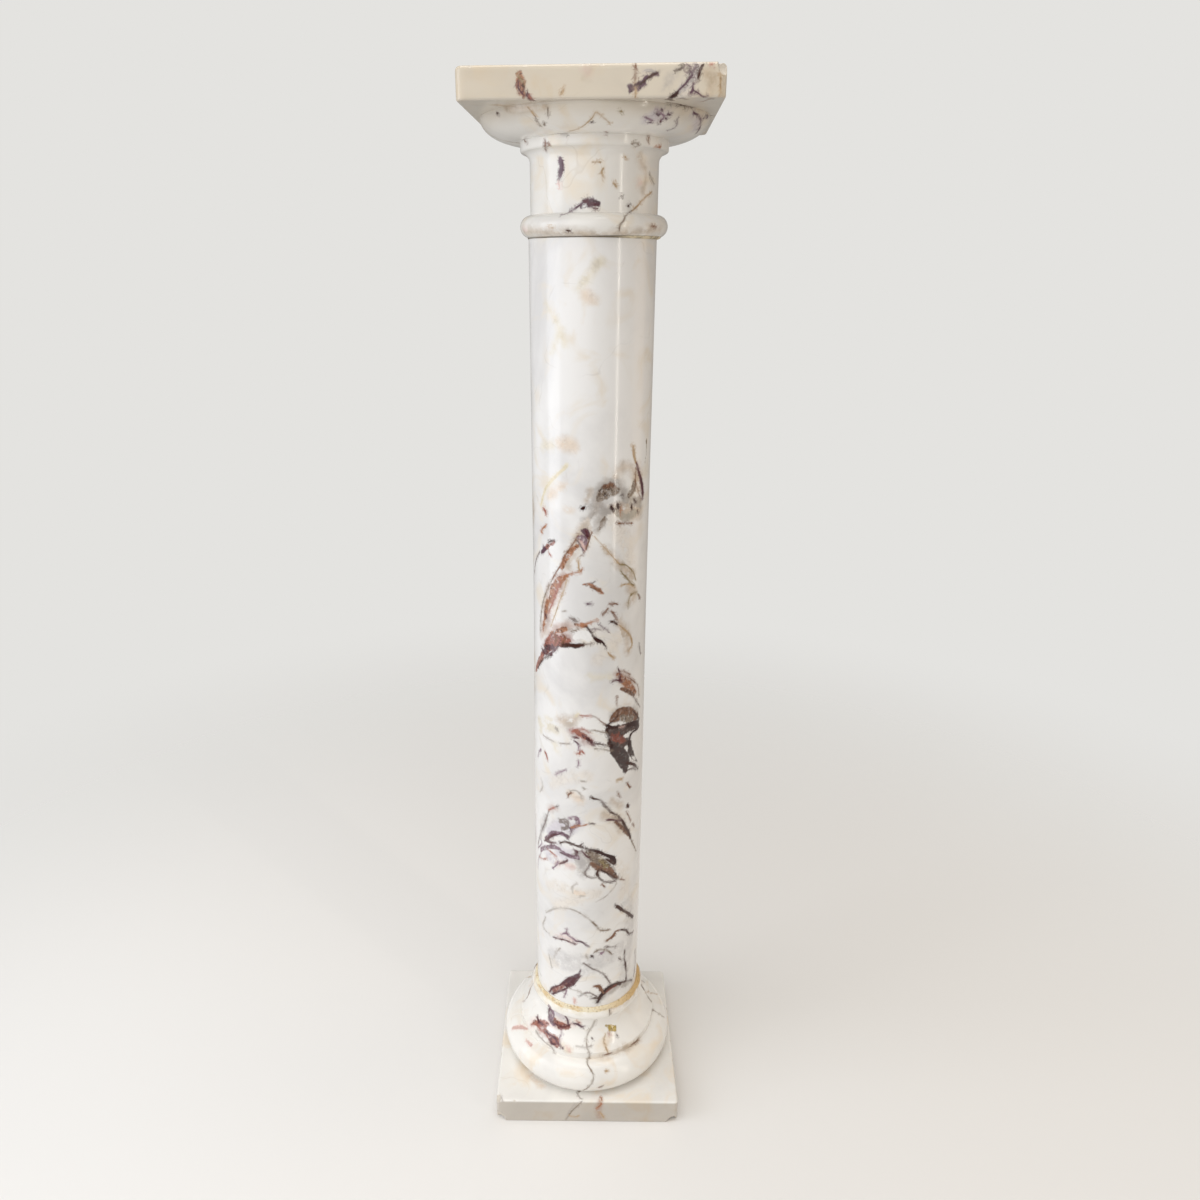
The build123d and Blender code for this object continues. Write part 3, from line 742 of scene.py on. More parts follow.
    (STAIN, "tan", (606, 815, 8), (614, 818, 10), (622, 828, 8)),
    (PATCH, "sepia", (616, 822, 3), (622, 827, 5), (627, 833, 4.4), (630, 838, 2.4)),
    (VEIN, "umber", (591.6, 797.8, 2), (594, 798.8, 2.4), (598, 799.4, 1.4), (602, 801.6, 2),
        (606, 807, 2.2)),
    (VEIN, "umber", (606, 807, 2), (611, 812, 2), (616, 814.6, 1.6), (620, 818, 2), (623, 822, 3),
        (626, 828, 2.6)),
    (VEIN, "umber", (625, 826, 2.6), (628.6, 832, 2.6), (631.4, 840.6, 1.4)),
    (VEIN, "maroon", (607, 820, 1.8), (612, 819.8, 2.4), (617, 820.6, 2), (622, 820.4, 2.6)),
    (VEIN, "smoke", (631, 840, 1.2), (634, 846, 1.4), (636, 851, 1)),
    (VEIN, "umber", (627.4, 805, 3.2), (628.4, 807, 2.8)),
    (VEIN, "sepia", (626, 811, 1), (629, 816.6, 1.2), (630.4, 821, 1)),
    (VEIN, "sepia", (632.8, 824, 2.2), (634, 826, 2)),
    (VEIN, "sepia", (618, 793, 1.6), (620, 796.6, 2)),
    (VEIN, "sepia", (627, 783, 1.4), (630, 787.6, 2.2)),
    (VEIN, "tan", (617, 780, 2.4), (622, 779, 2.6)),
    (VEIN, "sepia", (568, 797.6, 1), (568.4, 794.6, 2), (571, 792.8, 1.6)),
    (VEIN, "ash", (570, 791, 1), (576, 790.6, 1.2), (581, 795, 1.4), (582, 799, 1)),
    # Grey lace on the left
    (STAIN, "lilac", (549, 832, 9), (559, 824, 11), (569, 830, 10), (580, 824, 6)),
    (STAIN, "grey", (546, 818, 6), (543, 828, 6), (541, 838, 6)),
    (STAIN, "rust", (549, 809, 5), (555, 808, 5)),
    (PATCH, "grey", (560, 821, 3), (566, 822, 4), (567, 828, 4), (562, 829, 3)),
    (PATCH, "mauve", (546, 839, 4), (551, 835, 6), (557, 833, 5), (563, 834, 4), (568, 837, 4)),
    (PATCH, "mauve", (571, 819, 3), (577, 819, 4), (578, 825, 3), (571, 829, 3)),
    (VEIN, "brick", (548.6, 810, 1.4), (552, 808.4, 1.8), (555, 807.4, 1.4)),
    (VEIN, "umber", (555, 807, 1.2), (558, 806.4, 1.2)),
    (VEIN, "grey", (548.6, 811, 1.4), (547, 817, 1.8), (544.6, 824, 1.6), (541.6, 831, 1.8),
        (539.6, 837, 1.4), (538, 845, 1.2)),
    (VEIN, "grey", (560, 819.6, 1.2), (565, 819, 1.2), (568.6, 822, 1.6), (567.4, 827, 1.2),
        (562.6, 828, 1.4)),
    (VEIN, "violet", (553, 834, 1.8), (558, 834.6, 1.4), (562, 832.6, 1), (565, 835.6, 1.2)),
    (VEIN, "violet", (565.6, 837, 1.6), (567.6, 838.4, 2.2), (570.6, 835, 1.4), (571, 830, 1.2),
        (569, 827, 1)),
    (VEIN, "mauve", (568, 818.6, 1), (572, 816.8, 1.4), (576.6, 817, 1.6), (579, 820, 1.2), (580, 824, 1)),
    (VEIN, "rust", (571, 827.6, 1.8), (576, 826, 1.8), (582, 826, 1.4), (587, 824.6, 1)),
    (VEIN, "grey", (589.6, 824, 1.6), (592, 823.6, 2.2), (595, 824, 1.4)),
    (VEIN, "maroon", (544.6, 840.6, 1.6), (549, 837.8, 2.6), (553.6, 834.6, 2.2), (557, 834, 1.6)),
    (VEIN, "maroon", (546, 840.6, 2), (551, 842.6, 2.6), (556, 842.6, 1.8)),
    # Black line and brown cloud
    (STAIN, "lilac", (546, 850, 10), (552, 858, 9)),
    (STAIN, "lilac", (560, 853, 16), (572, 856, 12)),
    (STAIN, "grey", (577, 856, 10), (584, 866, 12), (584, 874, 9)),
    (STAIN, "rose", (557, 863, 6), (565, 864, 7), (573, 867, 4)),
    (STAIN, "smoke", (588, 855, 12), (598, 863, 17), (610, 872, 13)),
    (PATCH, "mauve", (541, 850, 4), (547, 847, 5), (553, 847, 5), (560, 849, 4)),
    (PATCH, "mauve", (562, 852, 4), (570, 856, 5), (577, 857, 5)),
    (PATCH, "smoke", (588, 853, 6), (595, 858, 11), (602, 865, 13), (609, 870, 9)),
    (PATCH, "sepia", (592, 864, 5), (599, 869, 7), (605, 867, 7), (612, 873, 6), (617, 877, 4)),
    (PATCH, "olive", (601, 860, 5), (606, 866, 6)),
    (VEIN, "umber", (559.8, 843.2, 1.6), (564, 841.8, 2), (569, 842.6, 2.8), (574, 845, 2.2),
        (580, 846.8, 2.6), (584, 848, 1.8)),
    (VEIN, "black", (584, 848, 1.8), (589, 849.4, 2.2), (594, 850.6, 2.8), (600, 852.4, 3.2),
        (605, 854.6, 3)),
    (VEIN, "black", (605, 854.6, 3), (609.6, 856.4, 4), (613, 857.8, 4.8), (614.8, 861, 4),
        (615, 864, 2.4)),
    (VEIN, "umber", (606, 859, 1.6), (611, 861.6, 3), (614, 864.6, 1.8)),
    (VEIN, "umber", (579, 846, 1.4), (582.6, 843.8, 1.2)),
    (VEIN, "maroon", (573.6, 849.6, 1.8), (577, 851.8, 3), (575.6, 855, 2)),
    (VEIN, "maroon", (582, 851, 1.4), (585, 854.6, 2), (589, 858, 1.2)),
    (VEIN, "violet", (559.6, 852, 1.2), (563, 854, 1.4), (567, 855.6, 1.6), (573, 856.4, 1.2)),
    (VEIN, "brick", (548, 849.6, 1.2), (552, 852.6, 1.4), (556, 856.6, 1)),
    (VEIN, "mauve", (541, 853, 1.2), (538.4, 860, 1.4), (538, 868, 1.2)),
    (VEIN, "maroon", (559.6, 863.6, 1.2), (563.6, 862.4, 2.6), (567.4, 860.4, 1.8)),
    (VEIN, "mauve", (558, 861, 1), (556.6, 865, 1.2), (552.6, 868, 1.6)),
    (VEIN, "umber", (598.6, 869.4, 1.2), (597, 874, 2.6), (599.6, 878.6, 2.4), (604.6, 881.8, 2)),
    (VEIN, "umber", (604.6, 881.6, 1.8), (611, 881.8, 2), (616, 880.4, 2), (618.6, 878.4, 1.8)),
    (VEIN, "umber", (600.6, 869.8, 1.4), (606, 872.6, 1.8), (611, 875.8, 2.4), (616.6, 878.4, 2)),
    (VEIN, "white", (601.6, 873.6, 2.4), (604.8, 876, 4), (608.4, 878.4, 2.4)),
    (VEIN, "grey", (589, 864.6, 1.8), (588.4, 868, 1.8), (585, 871.6, 1.4), (586.6, 876.4, 1.2),
        (592, 878, 1.4), (597, 877.6, 1.6)),
    (VEIN, "sepia", (602, 884, 1.4), (604.8, 887, 1.6)),
    (VEIN, "sepia", (619.6, 879, 1.2), (624.6, 880, 1.4)),
    # Cream clouds on the lower half
    (STAIN, "cream", (548, 884, 10), (560, 888, 14), (574, 893, 12)),
    (STAIN, "cream", (556, 905, 12), (575, 900, 14), (596, 893, 12)),
    (STAIN, "cream", (618, 862, 10), (627, 880, 12), (621, 896, 10)),
    (STAIN, "cream", (552, 784, 10), (566, 780, 12), (588, 776, 10)),
    (STAIN, "peach", (571, 793, 7), (580, 800, 7)),
    (STAIN, "peach", (576, 893, 5), (583, 894, 6)),
    (STAIN, "tan", (612, 800, 6), (620, 806, 6)),
    (STAIN, "cream", (600, 660, 12), (612, 646, 14), (622, 634, 14)),
    (STAIN, "tan", (619, 620, 7), (625, 634, 8), (628, 650, 6)),
    (STAIN, "cream", (612, 520, 14), (622, 536, 16), (630, 560, 14)),
    (VEIN, "ash", (540, 792, 0.8), (543, 786, 1), (541, 779, 0.8)),
    (VEIN, "ash", (596, 902, 0.8), (606, 896, 1), (615, 886, 0.8), (619, 874, 0.7)),
    (VEIN, "mauve", (538, 848, 1), (542, 843, 1.2), (540, 838, 1)),
    (VEIN, "brick", (539, 856, 1), (543, 859, 1.4), (547, 858, 1)),
    # Rings and lines above the foot
    (STAIN, "mist", (556, 958, 22), (580, 965, 26), (604, 958, 24), (624, 946, 16)),
    (STAIN, "mist", (628, 900, 14), (630, 925, 16), (624, 985, 16)),
    (VEIN, "ash", (577, 883, 1.2), (572.4, 886.8, 1.6), (572.8, 892.6, 1.2)),
    (VEIN, "ash", (580, 896, 1.8), (584.6, 896, 1.8)),
    (VEIN, "ash", (546, 912.6, 1), (553, 909.2, 1.6), (561, 908, 1.2), (569, 908.6, 1.4)),
    (VEIN, "ash", (569, 908.6, 1.2), (576, 911, 1.6), (583, 915, 1.4), (590, 920, 1.8)),
    (VEIN, "smoke", (590, 920, 1.4), (596, 925.6, 2), (600, 930, 1.6), (605, 930.4, 1.8), (609, 930, 1)),
    (VEIN, "ash", (545.6, 917, 1.2), (543, 924.6, 1.6), (545, 930, 1.2), (549.6, 934, 1)),
    (VEIN, "umber", (615, 905, 1.6), (618.6, 907, 3.6), (623, 910.6, 2.6), (627.6, 913, 2.8),
        (632.6, 916.8, 3.2)),
    (STAIN, "rose", (557, 936, 4), (565, 937, 6), (573, 941, 5)),
    (VEIN, "mauve", (561, 934.6, 1.2), (566, 933, 2), (569, 936, 2), (573, 938.6, 2.2), (576, 941.4, 1.8)),
    (VEIN, "mauve", (567, 928, 1), (566.4, 933, 1.6)),
    (VEIN, "maroon", (553, 937, 1), (559, 938.8, 1.6), (565, 940, 1.6), (570, 942, 2), (575, 944.4, 2.2)),
    (VEIN, "violet", (576, 941.4, 1.6), (581, 941.6, 2), (585, 944.2, 2), (589, 946.8, 2)),
    (VEIN, "sepia", (606.6, 941, 2.4), (609.6, 938.6, 2.6), (613.6, 935.4, 3.4), (615.4, 931.6, 2.2),
        (619, 930, 1.6)),
    (VEIN, "umber", (620.6, 929.8, 1.8), (626, 930, 2.4), (629, 934, 1.8), (633, 932, 1.8),
        (635.6, 933.6, 2.8)),
    (VEIN, "grey", (605, 946.8, 1.4), (607.4, 946.8, 2.8), (611, 947, 1.2), (616, 946.6, 1.2)),
    (VEIN, "black", (591.6, 955.8, 2.4), (592.6, 956.8, 2.4)),
    (VEIN, "mauve", (601, 953.4, 3), (604, 951.4, 2)),
    (VEIN, "smoke", (593.6, 953, 1), (600, 949.4, 1.6), (607, 950.4, 1.6), (612, 954.4, 1)),
    (VEIN, "ash", (560.6, 948, 1), (556.6, 952, 1.4), (553.6, 958, 1)),
    (VEIN, "ash", (549, 955, 1), (550.6, 962, 1.4), (552, 968, 1)),
    (VEIN, "ash", (586, 955, 1.6), (587.6, 959, 1.6)),
    (VEIN, "grey", (583, 963, 1.2), (588, 966, 1.8), (592, 968.8, 1.6), (598, 971, 1.4), (604, 974.6, 1.6),
        (610, 983, 1.4)),
    (VEIN, "umber", (624.6, 950, 1.6), (624.4, 958, 1), (625.4, 964, 2.8), (626, 972, 1.8),
        (626, 980, 1.8)),
    (VEIN, "grey", (618.6, 958, 1.8), (621, 960, 1.6)),
    (VEIN, "umber", (635, 950, 1.4), (635, 964, 1.6), (633.6, 976, 1.6)),
    # Thick marks at the foot
    (PATCH, "umber", (597, 1002, 2), (601, 996, 4.4), (606, 990.6, 5), (612, 986, 4.4), (620, 983.4, 3)),
    (STAIN, "smoke", (632, 981, 6), (618, 986, 9), (606, 993, 10), (598, 1000, 8)),
    (VEIN, "umber", (632, 979.6, 1.2), (627, 981, 1.4), (621.6, 982.4, 2.2), (615, 984, 2),
        (610, 986.4, 2.4)),
    (VEIN, "black", (610, 986.4, 2), (605.6, 990, 2.6), (601.6, 994.6, 2.8), (599.4, 999, 2.6),
        (597, 1003, 2)),
    (VEIN, "oxide", (616, 985.4, 1.4), (611.6, 988, 1.8), (607, 991.6, 1.4)),
    (VEIN, "umber", (590.6, 998.6, 1.4), (595, 998, 2.4), (600, 998.4, 2)),
    (VEIN, "sepia", (594, 986.4, 2.4), (598.6, 986, 3.2), (601, 989.4, 3), (603, 993, 2)),
    (VEIN, "grey", (580, 996, 1.4), (584, 993.6, 2), (590, 993, 1.6), (597, 996.6, 1.4)),
    (VEIN, "ash", (565, 987, 1), (572, 989.4, 1.2), (580, 992, 1), (586, 996, 1)),
    (PATCH, "violet", (565, 983.4, 5.4), (570, 980.6, 7), (575, 977.4, 5.6), (578.6, 974, 3.6),
        (581, 970.4, 1.6)),
    (PATCH, "brick", (553, 990.6, 3.4), (557, 988.6, 4.6), (561.6, 987, 4.6), (566, 984.4, 4)),
    (VEIN, "maroon", (549.6, 992, 2), (551.4, 989, 2), (555, 986.6, 1.6), (560, 985.2, 1.6),
        (565, 981, 2.4), (570, 977.8, 2.4)),
    (VEIN, "maroon", (552.6, 993.8, 2.2), (557, 992, 2.2), (563, 990, 1.8), (568, 987.4, 2.4),
        (574, 983.4, 2.4), (580, 976, 2)),
    (VEIN, "maroon", (566, 986, 3), (570.6, 983, 3.6), (575, 978.4, 2.8)),
    (VEIN, "mauve", (563.6, 997.4, 1), (565.6, 993.6, 1.6), (566.6, 990, 1.2)),
    (VEIN, "rose", (575, 999, 2.4), (574.4, 1003, 2)),
    (VEIN, "ash", (538, 960, 1), (539, 970, 1.2), (541, 975, 1)),
]

# %% Veins of the base
BASE_VEINS = [
    # Yellow bedding round the collar
    (STAIN, "sand", (537, 972, 6), (539, 984, 7), (545, 994, 7), (554, 1002, 7), (566, 1008, 7),
        (580, 1010.6, 6)),
    (STAIN, "sand", (580, 1010.6, 6), (594, 1010.6, 5), (608, 1007.6, 5)),
    (STAIN, "tan", (608, 1008, 4), (620, 1003, 6), (630, 994, 7), (636, 983, 7), (639, 970, 7)),
    (VEIN, "sepia", (539.6, 984, 1.2), (543, 989, 1.8), (546, 993, 1.2)),
    (VEIN, "smoke", (609, 1008, 1), (609.8, 1012.6, 1.2), (609, 1018, 1)),
    # Red cluster on the scotia
    (STAIN, "rose", (534, 1022, 8), (544, 1024, 11), (556, 1023, 12), (566, 1024, 9), (576, 1024, 6)),
    (STAIN, "brick", (540, 1026, 8), (550, 1034, 11), (557, 1042, 9)),
    (STAIN, "peach", (561, 1045, 5), (568, 1051, 6)),
    (STAIN, "lilac", (552, 1010, 8), (560, 1016, 9), (567, 1017, 6)),
    (PATCH, "mauve", (549, 1006, 3), (551.4, 1012, 7), (551, 1019, 6), (554, 1023, 6)),
    (PATCH, "brick", (555, 1021, 5), (562, 1026, 7), (569, 1026, 4)),
    (PATCH, "brick", (535, 1022, 5), (540, 1023, 7), (547, 1025, 6)),
    (PATCH, "brick", (544, 1030, 4), (550, 1035, 8), (556, 1040, 6)),
    (PATCH, "brick", (551.6, 1037, 4), (553, 1041, 6), (557, 1045, 4)),
    (VEIN, "maroon", (548.6, 1009, 1.2), (549, 1016, 1.6), (551, 1021.6, 2), (556, 1024, 2)),
    (VEIN, "maroon", (556, 1024, 1.8), (561, 1027, 2.2), (566, 1026.4, 1.6), (570, 1024.6, 1.2)),
    (VEIN, "violet", (565, 1016, 1.6), (567.6, 1020, 2.2), (568, 1024, 1.8)),
    (VEIN, "maroon", (537, 1017, 1.4), (539, 1021.6, 2), (543, 1024.6, 1.4)),
    (VEIN, "brick", (531, 1024.6, 1.2), (535, 1023.6, 1.6), (539, 1027, 1.6), (541, 1031, 1.2)),
    (VEIN, "violet", (573.6, 1023.6, 1.4), (578, 1024.4, 2), (582, 1026.8, 2), (585, 1026, 1.2)),
    (VEIN, "brick", (576.6, 1021, 1.2), (580.6, 1023, 1.4)),
    (VEIN, "maroon", (545.6, 1030.6, 1.2), (548.6, 1034, 1.6), (553, 1036.6, 2), (557.6, 1040, 1.8)),
    (VEIN, "maroon", (550, 1038.6, 1.2), (552, 1043.6, 1.6), (556, 1044.4, 1.4)),
    (VEIN, "violet", (556, 1040.6, 1.2), (558.6, 1044, 1.4), (563, 1049, 1.2)),
    (VEIN, "mauve", (561, 1029, 1.2), (561.6, 1034, 1.4), (559, 1039, 1.2)),
    (VEIN, "white", (548, 1028, 3), (552, 1030.6, 4.4), (557, 1033, 3)),
    (VEIN, "ash", (536, 1031, 1.2), (540, 1037, 1.4), (546, 1043, 1.4), (552, 1047.6, 1.4),
        (554.6, 1053, 1)),
    (VEIN, "rose", (567, 1047, 1.4), (569.6, 1051.6, 2)),
    # Hairline from collar to plinth
    (VEIN, "smoke", (595, 1020.6, 1.6), (592.6, 1026, 1.7), (588.6, 1032, 1.3), (586.6, 1038, 1.1)),
    (VEIN, "smoke", (586.6, 1038, 1), (586.4, 1044, 0.9), (588, 1050, 1.1), (590, 1055.6, 1.1),
        (587, 1060, 1)),
    (VEIN, "smoke", (587, 1060, 0.8), (587.6, 1065, 0.9), (591, 1070, 0.9), (593.4, 1076, 1),
        (592.6, 1082, 0.9)),
    (VEIN, "smoke", (592.6, 1082, 0.9), (588.6, 1087, 1), (583, 1090.4, 1.1), (578, 1091.6, 0.8)),
    (VEIN, "ash", (576.6, 1092.6, 0.8), (579, 1096.6, 0.9), (582, 1099.4, 0.9)),
    (VEIN, "smoke", (582, 1101.4, 0.8), (577.6, 1105.6, 1), (572, 1111, 0.9), (569, 1115, 1),
        (565.6, 1120, 0.8)),
    (VEIN, "ash", (575, 1103.6, 0.8), (570.6, 1109, 0.9), (567, 1115, 0.8)),
    (VEIN, "tan", (569, 1115.6, 1), (574, 1117, 1.2), (579, 1115.8, 1.4)),
    # Olive spot and small dots
    (PATCH, "mustard", (607, 1026, 3), (610.6, 1028, 7), (614, 1029, 6)),
    (STAIN, "peach", (611, 1034, 4), (606, 1044, 4), (609, 1054, 4)),
    (VEIN, "tan", (605.6, 1034, 1), (603.6, 1041, 1.2), (606, 1048, 1.4), (608, 1053, 1.4)),
    (VEIN, "brick", (609, 1033.6, 1.8), (609.8, 1035, 1.6)),
    (VEIN, "grey", (616.6, 1034.6, 1.6), (617.6, 1036, 1.4)),
    (VEIN, "grey", (591.6, 1037.6, 1.6), (592.6, 1039, 1.6)),
    (VEIN, "ash", (576, 1046, 1.4), (584, 1047.4, 1.8), (592, 1045.6, 1)),
    (STAIN, "tan", (601, 1056, 5), (612, 1054, 5), (626, 1047, 5), (638, 1040, 5)),
    (VEIN, "sepia", (631, 1044.6, 1.2), (634.6, 1042.6, 2.2), (637.6, 1040, 1.2)),
    (VEIN, "sepia", (604, 1055, 1), (608, 1054, 2), (612, 1052.8, 1)),
    (VEIN, "sepia", (598.6, 1087.4, 1), (600.4, 1087, 2), (603, 1085.8, 1)),
    (VEIN, "tan", (605, 1071, 1.6), (607.6, 1071.4, 2)),
    (VEIN, "rose", (513, 1028, 3), (520, 1027, 4), (527, 1029, 2)),
    (VEIN, "rose", (527, 1041, 2), (531, 1045, 3)),
    # Stains of the plinth
    (STAIN, "rust", (600, 1099, 3), (598, 1108, 5), (600, 1117, 5)),
    (VEIN, "rust", (600.4, 1097, 1), (602, 1101, 1.4), (600, 1105.6, 1.6), (596, 1108.6, 1.2)),
    (VEIN, "tan", (600, 1112, 1.4), (604, 1117.6, 1.6)),
    (STAIN, "peach", (530, 1076, 4), (541, 1086, 4)),
    (VEIN, "ash", (499.8, 1094.6, 0.9), (501, 1098, 1), (503, 1101, 0.9)),
]

